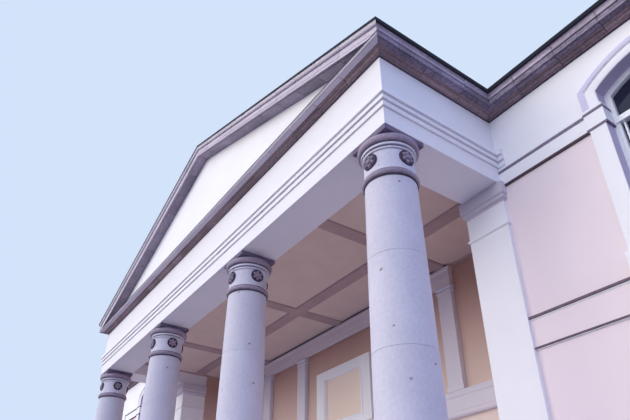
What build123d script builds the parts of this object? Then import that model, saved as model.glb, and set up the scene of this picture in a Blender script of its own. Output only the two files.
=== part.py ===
from build123d import *
import math
import os

# Courthouse: a two-storey stucco block with a pedimented four-column stone portico.
# Units are millimetres. +Z is up, the front faces -Y, and the origin is on the ground
# at the middle of the whole building's plan.

# Column order: every size follows the shaft's top diameter
TOP_D = 776
FOOT_D = 910
BAY = 4400
COLUMNS = 4
BEAM_HALF = 396

# Levels above the ground
FLOOR_Z = 600
NECK_Z = 7300
ARCHITRAVE_Z = 8120
FASCIA_TOP_Z = 8450
FRIEZE_Z = 8790
CORNICE_Z = 9545
ROOF_Z = 9960

# Outward steps of the moulding between architrave and frieze
BEAM_CAP_OUTS = (20, 40, 62)

# Cornice courses from the wall up: outward reach at the foot and the top, and height of the top
CORNICE_OUT = 304
CORNICE_FACE_OUT = 250
CORNICE_COURSES = (
    (0, 130, 100),
    (CORNICE_FACE_OUT, CORNICE_FACE_OUT, 335),
    (CORNICE_OUT, CORNICE_OUT, 415),
)

# The level cornice under the gable stops at this height over the wall, and the raking one carries the rest
GABLE_SEAT_H = 165

# Main block and roof
WALL = 600
WALL_FACE_X = 13200
MAIN_DEPTH = 15000
PORTICO_DEPTH = 2225
PORCH_RECESS = 1925
PITCH = 20
ROOF_SKIN = 220

# Raking cornice: outward reach, and where each course starts and ends down its height
RAKE_H = 320
RAKE_COURSES = ((CORNICE_OUT, 0.0, 0.28), (CORNICE_FACE_OUT, 0.28, 1.0))
TYMPANUM_T = 500
TYMPANUM_SET_BACK = 30

# Platform and steps
PLATFORM_OUT = 760
STEP_COUNT = 4
STEP_TREAD = 320

# Storeys
SLAB = 300
UPPER_FLOOR_Z = 4800
CEILING_Z = 9300
CEILING_SLAB = 200

# Bands across the walls
STRING_Z = (5133, 5645)
STRING_OUT = 45
IMPOST_Z = (8030, 8410)
IMPOST_OUT = 35
PLINTH_TOP_Z = 750
PLINTH_OUT = 70

# Windows
WINDOW_W = 1750
WING_WINDOW_X = 9760
UPPER_SILL_Z = STRING_Z[1]
UPPER_SPRING_Z = 8670
UPPER_RISE = 270
LOWER_SILL_Z = 1650
LOWER_HEAD_Z = 4265
LOWER_TRANSOM_Z = 3480
SIDE_BAYS = 3
REAR_BAYS = 5

# Window surrounds: the arch steps up from the jambs, which stand on foot blocks
SURROUND_W = 250
LOWER_SURROUND_W = 330
SURROUND_OUT = 70
ARCH_LIFT = 30
ARCH_GROWTH = 110
FOOT_BLOCK_H = 330
FOOT_BLOCK_OUT = 45
SILL_H = 160
SILL_OUT = 140
SILL_PAST = 60

# Sashes
FRAME_SET_BACK = 170
FRAME_DEEP = 90
FRAME_W = 95
MULLION_W = 64
GLASS_T = 12

# Piers and pilasters: outward step, foot and top of each cap moulding
PIER = 2 * BEAM_HALF
PIER_OUT = 60
PIER_FOOT_OUT = 40
PIER_FOOT_H = 260
CAP_OUT = 70
NECK_MOULD = (25, NECK_Z, NECK_Z + 60)
CAP_MOULDS = ((45, 7810, 7890), (CAP_OUT, 7890, ARCHITRAVE_Z))

# Column base, shaft and capital
BASE_H = 420
PLINTH_BLOCK = 1160
PLINTH_BLOCK_H = 190
TORUS_OUT = 115
TORUS_IN = 70
TORUS_H = 130
FILLET_OUT = 30
FILLET_H = 35
SHAFT_SWELL = 9
ABACUS_HALF = 388
ABACUS_H = 90
RIM_OUTS = (40, 85, 55)
RIM_H = 130
ANNULETS = ((14, 485, 520), (32, 535, 590))
NECK_TOP = 470
BEAD_OUT = 38
BEAD_H = 64
BOSS_R = 115
BOSS_OUT = 55
BOSS_Z = 340

# Porch: ceiling, ribs, and the order on the back wall
PORCH_CEILING_Z = 8520
CEILING_T = 120
RIB_W = 240
RIB_DROP = 45
RIB_XS = (-3830, 0, 3830)
CROSS_RIB_BACK = 2650
PORCH_BAND_Z = 8090
PORCH_PILASTERS = (1700, 3660)
PORCH_PILASTER_W = 400
PORCH_PILASTER_OUT = 120
PORCH_CAP_OUT = 30
PORCH_CAP_H = 110

# Panel over the door: outer and inner half widths, and levels from its foot to its top
PANEL_HALF = (1150, 760)
PANEL_Z = (5670, 5910, 7100, 7345)
PANEL_OUT = 90
PANEL_SUNK = 70

# Entrance
DOOR_W = 2000
DOOR_HEAD_Z = 4300
TRANSOM_Z = 3350
TRANSOM_H = 110
CASE_W = 300
CASE_OUT = 90
HEAD_H = 320
HOOD_OUT = 230
HOOD_PAST = 80
HOOD_H = 160
DOOR_SET_BACK = 200
DOOR_FRAME_DEEP = 120
DOOR_FRAME_W = 90
LEAF_T = 60
LEAF_GAP = 5

# Places and slopes that follow from the sizes above
COLUMN_XS = [BAY * (i - (COLUMNS - 1) / 2) for i in range(COLUMNS)]
END_X = COLUMN_XS[-1]
PORTICO_HALF = END_X + BEAM_HALF
PORCH_HALF = END_X - BEAM_HALF
STEP_RISE = FLOOR_Z / STEP_COUNT
STEP_REACH = PLATFORM_OUT + (STEP_COUNT - 1) * STEP_TREAD
WALL_Y = (PORTICO_DEPTH + STEP_REACH - MAIN_DEPTH - CORNICE_OUT) / 2
REAR_Y = WALL_Y + MAIN_DEPTH
COLUMN_Y = WALL_Y - PORTICO_DEPTH
PORCH_Y = WALL_Y + PORCH_RECESS
BEAM_FRONT_Y = COLUMN_Y - BEAM_HALF
BEAM_INSIDE_Y = COLUMN_Y + BEAM_HALF
PIER_BACK_Y = WALL_Y + PIER - PIER_OUT
INNER_X = WALL_FACE_X - WALL
OPENING_HALF = WINDOW_W / 2
SURROUND_HALF = OPENING_HALF + SURROUND_W
SLOPE = math.tan(math.radians(PITCH))
COS_PITCH = math.cos(math.radians(PITCH))
PEDIMENT_HALF = PORTICO_HALF + CORNICE_OUT
APEX_Z = ROOF_Z + PEDIMENT_HALF * SLOPE
SEAT_Z = CORNICE_Z + GABLE_SEAT_H
TYMPANUM_BACK_Y = BEAM_FRONT_Y + TYMPANUM_T
SKIN_DROP = ROOF_SKIN / COS_PITCH
RAKE_DROP = RAKE_H / COS_PITCH

# How far a cutting solid runs past what it cuts
PAST = 10

os.makedirs("parts", exist_ok=True)


def block(x0, x1, y0, y1, z0, z1):
    """A box between two corners."""
    middle = Pos((x0 + x1) / 2, (y0 + y1) / 2, (z0 + z1) / 2)
    return middle * Box(x1 - x0, y1 - y0, z1 - z0)


def face_of(points):
    """A flat face with straight edges round the given points."""
    return make_face(Polyline(*points, close=True))


def slab(points, z0, z1):
    """A flat-topped solid with the given plan."""
    plan = face_of([(x, y, z0) for x, y in points])
    return extrude(plan, z1 - z0, dir=(0, 0, 1))


def cut_from_front(points, y0, y1):
    """A solid with the given outline in X and Z, running back along Y."""
    outline = face_of([(x, y0, z) for x, z in points])
    return extrude(outline, y1 - y0, dir=(0, 1, 0))


def joined(solids):
    """One solid from pieces that meet."""
    whole = solids[0]
    for solid in solids[1:]:
        whole += solid
    return whole


def keep(node, solids):
    """Write one sub-part, made of one solid or of several that stand apart."""
    shape = solids if not isinstance(solids, list) else Compound(children=solids)
    export_step(shape, f"parts/{node}.step")


def both_sides(solid):
    """A solid and its mirror image across the building's middle."""
    return [solid, mirror(solid, Plane.YZ)]


# Plans


def block_plan(out=0):
    """The main block's plan, grown outward by a step."""
    x = WALL_FACE_X + out
    return [(-x, WALL_Y - out), (x, WALL_Y - out), (x, REAR_Y + out), (-x, REAR_Y + out)]


def portico_plan(out=0):
    """The portico's plan at beam level, grown outward by a step."""
    x = PORTICO_HALF + out
    front = BEAM_FRONT_Y - out
    return [(-x, front), (x, front), (x, WALL_Y), (-x, WALL_Y)]


def whole_plan(out=0):
    """The wall-head plan of block and portico together, grown outward by a step."""
    x = WALL_FACE_X + out
    p = PORTICO_HALF + out
    front = BEAM_FRONT_Y - out
    wall = WALL_Y - out
    rear = REAR_Y + out
    return [(-p, front), (p, front), (p, wall), (x, wall), (x, rear), (-x, rear), (-x, wall), (-p, wall)]


def beam_plan():
    """The U of beams over the columns, back to the far side of the antae."""
    p = PORTICO_HALF
    q = PORCH_HALF
    return [
        (-p, BEAM_FRONT_Y), (p, BEAM_FRONT_Y), (p, PIER_BACK_Y), (q, PIER_BACK_Y),
        (q, BEAM_INSIDE_Y), (-q, BEAM_INSIDE_Y), (-q, PIER_BACK_Y), (-p, PIER_BACK_Y),
    ]


def room_plan():
    """The inside of the walls, round the porch that is cut into the front."""
    x = INNER_X
    p = PORTICO_HALF
    front = WALL_Y + WALL
    back = REAR_Y - WALL
    porch = PORCH_Y + WALL
    return [(-x, front), (-p, front), (-p, porch), (p, porch), (p, front), (x, front), (x, back), (-x, back)]


# Windows, drawn on a wall that faces -Y with its face at Y = 0 and the window at X = 0


def arched_face(half, sill, spring, rise):
    """A window outline with a segmental head."""
    left, right = (-half, 0, spring), (half, 0, spring)
    sides = Polyline(left, (-half, 0, sill), (half, 0, sill), right)
    head = ThreePointArc(right, (0, 0, spring + rise), left)
    return make_face([sides, head])


def run_back(face, y0, y1):
    """A solid from a face at Y = 0, between two depths in the wall."""
    return extrude(Pos(0, y0, 0) * face, y1 - y0, dir=(0, 1, 0))


def upper_hole(y0, y1, shrink=0):
    """The segmental-headed opening of the upper storey."""
    face = arched_face(OPENING_HALF - shrink, UPPER_SILL_Z + shrink, UPPER_SPRING_Z, UPPER_RISE - shrink)
    return run_back(face, y0, y1)


def lower_hole(y0, y1, shrink=0):
    """The square-headed opening of the ground storey."""
    half = OPENING_HALF - shrink
    return block(-half, half, y0, y1, LOWER_SILL_Z + shrink, LOWER_HEAD_Z - shrink)


def window_frame(hole, sill_z, transom_z):
    """A frame with a transom and two mullions, set back in its opening."""
    y0 = FRAME_SET_BACK
    y1 = y0 + FRAME_DEEP
    half = OPENING_HALF - FRAME_W / 2
    ring = hole(y0, y1) - hole(y0, y1, FRAME_W)
    bars = [block(-half, half, y0, y1, transom_z - FRAME_W / 2, transom_z + FRAME_W / 2)]
    for side in (-1, 1):
        x = side * OPENING_HALF / 2
        foot = sill_z + FRAME_W / 2
        bars.append(block(x - MULLION_W / 2, x + MULLION_W / 2, y0, y1, foot, transom_z))
    return joined([ring] + bars)


def window_glass(hole):
    """One sheet of glass behind the frame."""
    y0 = FRAME_SET_BACK + FRAME_DEEP
    return hole(y0, y0 + GLASS_T, FRAME_W / 2)


def upper_surround():
    """Architrave jambs on foot blocks, carried round the segmental head."""
    spring = UPPER_SPRING_Z + ARCH_LIFT
    outer = arched_face(SURROUND_HALF, UPPER_SILL_Z, spring, UPPER_RISE + ARCH_GROWTH)
    body = run_back(outer, -SURROUND_OUT, 0)
    for side in (-1, 1):
        x0, x1 = sorted((side * SURROUND_HALF, side * (SURROUND_HALF + FOOT_BLOCK_OUT)))
        body += block(x0, x1, -SURROUND_OUT, 0, UPPER_SILL_Z, UPPER_SILL_Z + FOOT_BLOCK_H)
    return body - upper_hole(-SURROUND_OUT, 0)


def lower_surround():
    """Wide architrave round a square-headed window, with a sill under it."""
    half = OPENING_HALF + LOWER_SURROUND_W
    sill_foot = LOWER_SILL_Z - SILL_H
    sill_half = half + SILL_PAST
    body = block(-half, half, -SURROUND_OUT, 0, sill_foot, LOWER_HEAD_Z + LOWER_SURROUND_W)
    body += block(-sill_half, sill_half, -SILL_OUT, 0, sill_foot, LOWER_SILL_Z)
    return body - lower_hole(-SURROUND_OUT, 0)


def place_on(wall, offset):
    """Where a window stands: its wall and its distance along that wall."""
    return {
        "front": Pos(offset, WALL_Y, 0),
        "rear": Pos(offset, REAR_Y, 0) * Rot(0, 0, 180),
        "right": Pos(WALL_FACE_X, offset, 0) * Rot(0, 0, 90),
        "left": Pos(-WALL_FACE_X, offset, 0) * Rot(0, 0, -90),
    }[wall]


SIDE_PITCH = (MAIN_DEPTH - PIER) / SIDE_BAYS
SIDE_YS = [WALL_Y + PIER / 2 + SIDE_PITCH * (i + 0.5) for i in range(SIDE_BAYS)]
REAR_PITCH = 2 * WING_WINDOW_X / (REAR_BAYS - 1)
REAR_XS = [REAR_PITCH * (i - (REAR_BAYS - 1) / 2) for i in range(REAR_BAYS)]
PLACES = {
    "front_left": [place_on("front", -WING_WINDOW_X)],
    "front_right": [place_on("front", WING_WINDOW_X)],
    "left": [place_on("left", y) for y in SIDE_YS],
    "right": [place_on("right", y) for y in SIDE_YS],
    "rear": [place_on("rear", x) for x in REAR_XS],
}
ALL_PLACES = [place for places in PLACES.values() for place in places]


def windows():
    """Frames, glass and surrounds of both rows, on all four sides."""
    rows = (
        ("upper", upper_hole, upper_surround(), UPPER_SILL_Z, IMPOST_Z[0] + FRAME_W),
        ("lower", lower_hole, lower_surround(), LOWER_SILL_Z, LOWER_TRANSOM_Z),
    )
    for name, hole, surround, sill_z, transom_z in rows:
        frame = window_frame(hole, sill_z, transom_z)
        glass = window_glass(hole)
        keep(f"{name}_window_frames", [place * frame for place in ALL_PLACES])
        keep(f"{name}_window_glass", [place * glass for place in ALL_PLACES])
        keep(f"{name}_window_surrounds", [place * surround for place in ALL_PLACES])


# Walls and floors


def pierced(wall, places):
    """A wall with its two rows of windows cut through."""
    for place in places:
        wall -= place * upper_hole(-PAST, WALL + PAST)
        wall -= place * lower_hole(-PAST, WALL + PAST)
    return wall


def walls():
    """Outer walls from the ground to the cornice."""
    front = block(PORTICO_HALF, INNER_X, WALL_Y, WALL_Y + WALL, 0, CORNICE_Z)
    right = pierced(front, PLACES["front_right"])
    keep("front_wall_right", right)
    keep("front_wall_left", mirror(right, Plane.YZ))
    side = block(INNER_X, WALL_FACE_X, WALL_Y, REAR_Y, 0, CORNICE_Z)
    side = pierced(side, PLACES["right"])
    keep("side_wall_right", side)
    keep("side_wall_left", mirror(side, Plane.YZ))
    rear = block(-INNER_X, INNER_X, REAR_Y - WALL, REAR_Y, 0, CORNICE_Z)
    keep("rear_wall", pierced(rear, PLACES["rear"]))


def porch_walls():
    """The two sides and the back of the porch, with the doorway cut through."""
    side = block(PORCH_HALF, PORTICO_HALF, PIER_BACK_Y, PORCH_Y, 0, CORNICE_Z)
    keep("porch_side_walls", both_sides(side))
    back = block(-PORTICO_HALF, PORTICO_HALF, PORCH_Y, PORCH_Y + WALL, 0, CORNICE_Z)
    half = DOOR_W / 2
    back -= block(-half, half, PORCH_Y - PAST, PORCH_Y + WALL + PAST, FLOOR_Z, DOOR_HEAD_Z)
    keep("porch_back_wall", back)


def plinth():
    """The projecting foot of the walls, stopped against the portico platform."""
    ring = slab(block_plan(PLINTH_OUT), 0, PLINTH_TOP_Z) - slab(block_plan(), 0, PLINTH_TOP_Z)
    gap = END_X + PLATFORM_OUT
    ring -= block(-gap, gap, WALL_Y - PIER, WALL_Y + PAST, 0, PLINTH_TOP_Z)
    keep("plinth", ring)


def floors():
    """Ground floor, upper floor and the ceiling under the roof."""
    keep("ground_floor", slab(room_plan(), 0, FLOOR_Z))
    keep("upper_floor", slab(room_plan(), UPPER_FLOOR_Z - SLAB, UPPER_FLOOR_Z))
    keep("upper_ceiling", slab(room_plan(), CEILING_Z, CEILING_Z + CEILING_SLAB))


# Piers and pilasters


def antae():
    """The two piers that end the porch's side walls and carry the side beams."""
    half = PIER / 2
    front = WALL_Y - PIER_OUT
    body = block(-half, half, front, PIER_BACK_Y, FLOOR_Z, ARCHITRAVE_Z)
    foot = (PIER_FOOT_OUT, FLOOR_Z, FLOOR_Z + PIER_FOOT_H)
    for out, z0, z1 in (foot, NECK_MOULD) + CAP_MOULDS:
        body += block(-half - out, half + out, front - out, PIER_BACK_Y, z0, z1)
    body -= block(half, half + PIER, WALL_Y, PIER_BACK_Y + PAST, 0, CORNICE_Z)
    body += block(-half, half, WALL_Y, PIER_BACK_Y, 0, FLOOR_Z)
    keep("antae", both_sides(Pos(END_X, 0, 0) * body))


def corner_pilasters():
    """Shallow pilasters wrapped round the four outer corners, with the band over their caps."""
    x, y = WALL_FACE_X, WALL_Y
    body = block(x - PIER, x + PIER_OUT, y - PIER_OUT, y + PIER, PLINTH_TOP_Z, IMPOST_Z[1])
    for out, z0, z1 in (NECK_MOULD,) + CAP_MOULDS:
        reach = PIER_OUT + out
        body += block(x - PIER - out, x + reach, y - reach, y + PIER + out, z0, z1)
    body -= block(0, x, y, REAR_Y, 0, CORNICE_Z)
    front = both_sides(body)
    shift = Pos(0, WALL_Y + REAR_Y, 0)
    rear = [shift * mirror(piece, Plane.XZ) for piece in front]
    keep("corner_pilasters", front + rear)


# Bands round the main block


def clear_corners(ring, reach, z0, z1):
    """A band with its four corners taken out for the corner pilasters."""
    for x in (-WALL_FACE_X, WALL_FACE_X):
        for y in (WALL_Y, REAR_Y):
            ring -= block(x - reach, x + reach, y - reach, y + reach, z0, z1)
    return ring


def string_course():
    """The sill band round the main block, between the piers and the corner pilasters."""
    z0, z1 = STRING_Z
    ring = slab(block_plan(STRING_OUT), z0, z1) - slab(block_plan(), z0, z1)
    ring -= block(-PORTICO_HALF, PORTICO_HALF, WALL_Y - PIER, WALL_Y + PAST, z0, z1)
    ring = clear_corners(ring, PIER, z0, z1)
    keep("string_course", list(ring.solids()))


def impost_band():
    """The flat band under the frieze, stopped by the window surrounds and the pilaster caps."""
    z0, z1 = IMPOST_Z
    ring = slab(block_plan(IMPOST_OUT), z0, z1) - slab(block_plan(), z0, z1)
    ring -= block(-PORTICO_HALF, PORTICO_HALF, WALL_Y - PIER, WALL_Y + PAST, z0, z1)
    for place in ALL_PLACES:
        ring -= place * block(-SURROUND_HALF, SURROUND_HALF, -PIER, PAST, z0, z1)
    ring = clear_corners(ring, PIER, z0, z1)
    ring = clear_corners(ring, PIER + CAP_OUT, z0, ARCHITRAVE_Z)
    cap = PORTICO_HALF + CAP_OUT
    ring -= block(-cap, cap, WALL_Y - PIER, WALL_Y + PAST, z0, ARCHITRAVE_Z)
    keep("impost_band", list(ring.solids()))


# Portico


def platform():
    """The raised floor of portico and porch, and the steps along its front."""
    x = END_X + PLATFORM_OUT
    front = COLUMN_Y - PLATFORM_OUT
    body = block(-x, x, front, WALL_Y, 0, FLOOR_Z)
    body += block(-PORCH_HALF, PORCH_HALF, WALL_Y, PORCH_Y, 0, FLOOR_Z)
    keep("portico_platform", body)
    steps = []
    for i in range(STEP_COUNT - 1):
        reach = front - STEP_TREAD * (STEP_COUNT - 1 - i)
        steps.append(block(-x, x, reach, front, STEP_RISE * i, STEP_RISE * (i + 1)))
    keep("portico_steps", joined(steps))


def column_base():
    """A square plinth with a torus and a fillet."""
    half = PLINTH_BLOCK / 2
    top = PLINTH_BLOCK_H
    r = FOOT_D / 2
    torus_top = top + TORUS_H
    fillet_top = torus_top + FILLET_H
    foot = Polyline((0, 0, top), (r + TORUS_IN, 0, top))
    torus = ThreePointArc((r + TORUS_IN, 0, top), (r + TORUS_OUT, 0, top + TORUS_H / 2), (r + TORUS_IN, 0, torus_top))
    rest = Polyline((r + TORUS_IN, 0, torus_top), (r + FILLET_OUT, 0, torus_top), (r + FILLET_OUT, 0, fillet_top),
                    (r, 0, BASE_H), (0, 0, BASE_H), (0, 0, top))
    round_part = revolve(make_face([foot, torus, rest]), Axis.Z)
    return block(-half, half, -half, half, 0, top) + round_part


def column_shaft():
    """The tapering shaft, with a slight swell at its middle."""
    z0 = FLOOR_Z + BASE_H
    z1 = NECK_Z
    middle = (z0 + z1) / 2
    swell = (FOOT_D + TOP_D) / 4 + SHAFT_SWELL
    side = ThreePointArc((FOOT_D / 2, 0, z0), (swell, 0, middle), (TOP_D / 2, 0, z1))
    rest = Polyline((TOP_D / 2, 0, z1), (0, 0, z1), (0, 0, z0), (FOOT_D / 2, 0, z0))
    return revolve(make_face([side, rest]), Axis.Z)


def column_capital():
    """Astragal, tall neck with four round bosses, two annulets, a round rim and a square abacus under the beam."""
    r = TOP_D / 2
    height = ARCHITRAVE_Z - NECK_Z
    top = height - ABACUS_H
    neck_r = r - 5
    bead_r = r + 10
    foot_out, rim_out, top_out = RIM_OUTS
    low = Polyline((0, 0, 0), (bead_r, 0, 0))
    bead = ThreePointArc((bead_r, 0, 0), (r + BEAD_OUT, 0, BEAD_H / 2), (bead_r, 0, BEAD_H))
    outline = [(bead_r, 0, BEAD_H), (neck_r, 0, BEAD_H + 18), (neck_r, 0, NECK_TOP)]
    for out, z0, z1 in ANNULETS:
        outline += [(r + out, 0, z0), (r + out, 0, z1)]
    outline.append((r + foot_out, 0, top - RIM_H))
    neck = Polyline(*outline)
    rim = ThreePointArc((r + foot_out, 0, top - RIM_H), (r + rim_out, 0, top - RIM_H / 2), (r + top_out, 0, top))
    close = Polyline((r + top_out, 0, top), (0, 0, top), (0, 0, 0))
    body = revolve(make_face([low, bead, neck, rim, close]), Axis.Z)
    half = ABACUS_HALF
    body += block(-half, half, -half, half, top, height)
    boss = Rot(0, 90, 0) * Cylinder(BOSS_R, 2 * BOSS_OUT)
    for turn in range(4):
        body += Rot(0, 0, 90 * turn) * (Pos(neck_r, 0, BOSS_Z) * boss)
    return body


def columns():
    """Four columns, each of a base, a shaft and a capital."""
    base = column_base()
    shaft = column_shaft()
    capital = column_capital()
    keep("column_bases", [Pos(x, COLUMN_Y, FLOOR_Z) * base for x in COLUMN_XS])
    for number, x in enumerate(COLUMN_XS, 1):
        keep(f"column_shaft_{number}", Pos(x, COLUMN_Y, 0) * shaft)
    keep("column_capitals", [Pos(x, COLUMN_Y, NECK_Z) * capital for x in COLUMN_XS])


def entablature():
    """Plain architrave, its moulded cap and the flat frieze, in one U of beams."""
    body = slab(beam_plan(), ARCHITRAVE_Z, CORNICE_Z)
    high = (FRIEZE_Z - FASCIA_TOP_Z) / len(BEAM_CAP_OUTS)
    for i, out in enumerate(BEAM_CAP_OUTS):
        z0 = FASCIA_TOP_Z + high * i
        z1 = z0 + high
        body += slab(portico_plan(out), z0, z1) - slab(portico_plan(), z0, z1)
    keep("entablature", body)


def cornice_course(low_out, high_out, z0, z1):
    """One course of the cornice, straight or splayed."""
    if low_out == high_out:
        return slab(whole_plan(low_out), z0, z1)
    low = face_of([(x, y, z0) for x, y in whole_plan(low_out)])
    high = face_of([(x, y, z1) for x, y in whole_plan(high_out)])
    return loft([low, high], ruled=True)


def gable_seat():
    """The space over the level cornice's face between the mitres, where the gable stands."""
    p = PORTICO_HALF
    reach = CORNICE_OUT + PAST
    front = BEAM_FRONT_Y - reach
    plan = [(-p - reach, front), (p + reach, front), (p, BEAM_FRONT_Y), (p, TYMPANUM_BACK_Y), (-p, TYMPANUM_BACK_Y),
            (-p, BEAM_FRONT_Y)]
    return slab(plan, SEAT_Z, ROOF_Z)


def cornice():
    """The stone cornice round block and portico, on the wall head, lower where the gable stands on it."""
    courses = []
    z0 = CORNICE_Z
    for low_out, high_out, top in CORNICE_COURSES:
        courses.append(cornice_course(low_out, high_out, z0, CORNICE_Z + top))
        z0 = CORNICE_Z + top
    body = joined(courses)
    front = WALL_Y + WALL
    body -= block(-INNER_X, INNER_X, front, REAR_Y - WALL, CORNICE_Z - PAST, ROOF_Z + PAST)
    body -= block(-PORCH_HALF, PORCH_HALF, BEAM_INSIDE_Y, front + PAST, CORNICE_Z - PAST, ROOF_Z + PAST)
    keep("main_cornice", body - gable_seat())


def gable(half):
    """The gable's triangle on the cornice, for a half width."""
    return [(-half, ROOF_Z), (half, ROOF_Z), (0, ROOF_Z + half * SLOPE)]


def rake_height(x, share):
    """The height at a distance from the middle of the line that lies a share down the raking cornice."""
    return ROOF_Z + (PEDIMENT_HALF - x) * SLOPE - share * RAKE_DROP


def rake_band(out, start, end):
    """A course of the raking cornice, up one side and down the other, with upright feet."""
    x = PORTICO_HALF + out
    outline = [(-x, rake_height(x, end)), (-x, rake_height(x, start)), (0, rake_height(0, start)),
               (x, rake_height(x, start)), (x, rake_height(x, end)), (0, rake_height(0, end))]
    return cut_from_front(outline, BEAM_FRONT_Y - out, TYMPANUM_BACK_Y)


def pediment():
    """The plain gable wall, and the raking cornice that is mitred into the level one at its feet."""
    p = PORTICO_HALF
    wall = [(-p, SEAT_Z), (p, SEAT_Z), (p, rake_height(p, 1)), (0, rake_height(0, 1)), (-p, rake_height(p, 1))]
    keep("tympanum", cut_from_front(wall, BEAM_FRONT_Y + TYMPANUM_SET_BACK, TYMPANUM_BACK_Y))
    rakes = joined([rake_band(out, start, end) for out, start, end in RAKE_COURSES])
    reach = PEDIMENT_HALF + PAST
    above = block(-reach, reach, BEAM_FRONT_Y - reach, TYMPANUM_BACK_Y, ROOF_Z, APEX_Z + PAST)
    keep("raking_cornice", (rakes & above) + (rakes & gable_seat()))


# Roof

EAVES_X = WALL_FACE_X + CORNICE_OUT
EAVES_FRONT_Y = WALL_Y - CORNICE_OUT
EAVES_REAR_Y = REAR_Y + CORNICE_OUT
RIDGE_Y = (EAVES_FRONT_Y + EAVES_REAR_Y) / 2
ROOF_HALF = (EAVES_REAR_Y - EAVES_FRONT_Y) / 2


def hip_solid(inset=0.0):
    """The roof's outer form, or the same form with its eaves drawn in."""
    x = EAVES_X - inset
    y0 = EAVES_FRONT_Y + inset
    y1 = EAVES_REAR_Y - inset
    half = ROOF_HALF - inset
    ridge_z = ROOF_Z + half * SLOPE
    gable_end = face_of([(-x, y0, ROOF_Z), (-x, y1, ROOF_Z), (-x, RIDGE_Y, ridge_z)])
    tent = extrude(gable_end, 2 * x, dir=(1, 0, 0))
    long_side = face_of([(-x, y0, ROOF_Z), (x, y0, ROOF_Z), (x - half, y0, ridge_z), (half - x, y0, ridge_z)])
    return tent & extrude(long_side, y1 - y0, dir=(0, 1, 0))


def main_roof():
    """Four slate slopes, parted along the hips and the ridge."""
    shell = hip_solid() - hip_solid(SKIN_DROP / SLOPE)
    x = EAVES_X
    ridge_x = x - ROOF_HALF
    z0 = ROOF_Z - PAST
    z1 = ROOF_Z + ROOF_HALF * SLOPE + PAST
    front = slab([(-x, EAVES_FRONT_Y), (x, EAVES_FRONT_Y), (ridge_x, RIDGE_Y), (-ridge_x, RIDGE_Y)], z0, z1)
    back = slab([(-x, EAVES_REAR_Y), (x, EAVES_REAR_Y), (ridge_x, RIDGE_Y), (-ridge_x, RIDGE_Y)], z0, z1)
    end = slab([(x, EAVES_FRONT_Y), (x, EAVES_REAR_Y), (ridge_x, RIDGE_Y)], z0, z1)
    right = shell & end
    keep("roof_front", shell & front)
    keep("roof_back", shell & back)
    keep("roof_right", right)
    keep("roof_left", mirror(right, Plane.YZ))


def portico_roof():
    """Two slate slopes from the raking cornice back into the main roof."""
    front = BEAM_FRONT_Y + TYMPANUM_T
    outer = cut_from_front(gable(PEDIMENT_HALF), front, RIDGE_Y)
    inner = cut_from_front(gable(PEDIMENT_HALF - SKIN_DROP / SLOPE), front - PAST, RIDGE_Y + PAST)
    right_half = block(0, PEDIMENT_HALF, front, RIDGE_Y, ROOF_Z, APEX_Z + PAST)
    slope = ((outer - inner) & right_half) - hip_solid()
    keep("portico_roof_right", slope)
    keep("portico_roof_left", mirror(slope, Plane.YZ))


# Porch


def portico_ceiling():
    """Plaster ceiling with flat ribs over portico and porch."""
    z = PORCH_CEILING_Z
    half = RIB_W / 2
    cross_y = COLUMN_Y + CROSS_RIB_BACK
    body = block(-PORCH_HALF, PORCH_HALF, BEAM_INSIDE_Y, PORCH_Y, z, z + CEILING_T)
    for x in RIB_XS:
        body += block(x - half, x + half, BEAM_INSIDE_Y, PORCH_Y, z - RIB_DROP, z)
    body += block(-PORCH_HALF, PORCH_HALF, cross_y - half, cross_y + half, z - RIB_DROP, z)
    keep("portico_ceiling", body)


def porch_order():
    """Sill band round the porch, four pilasters on its back wall and the band over them."""
    y = PORCH_Y
    front = y - PORCH_PILASTER_OUT
    end = PORCH_PILASTERS[1] + PORCH_PILASTER_W
    cap_end = end + PORCH_CAP_OUT
    top = PORCH_CEILING_Z - RIB_DROP
    z0, z1 = STRING_Z
    body = block(-end, end, front, y, PORCH_BAND_Z, top)
    body += block(-cap_end, cap_end, front - PORCH_CAP_OUT, y, top - PORCH_CAP_H, top)
    body += block(-PORCH_HALF, PORCH_HALF, front, y, z0, z1)
    for side in (-1, 1):
        for x in PORCH_PILASTERS:
            x0, x1 = sorted((side * x, side * (x + PORCH_PILASTER_W)))
            body += block(x0, x1, front, y, z1, PORCH_BAND_Z)
        x0, x1 = sorted((side * (PORCH_HALF - STRING_OUT), side * PORCH_HALF))
        body += block(x0, x1, PIER_BACK_Y, y, z0, z1)
    keep("porch_order", body)


def over_door_panel():
    """A raised frame round a sunk panel, over the door."""
    outer, inner = PANEL_HALF
    foot, field_foot, field_top, top = PANEL_Z
    front = PORCH_Y - PANEL_OUT
    body = block(-outer, outer, front, PORCH_Y, foot, top)
    body -= block(-inner, inner, front - PAST, front + PANEL_SUNK, field_foot, field_top)
    keep("over_door_panel", body)


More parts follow.
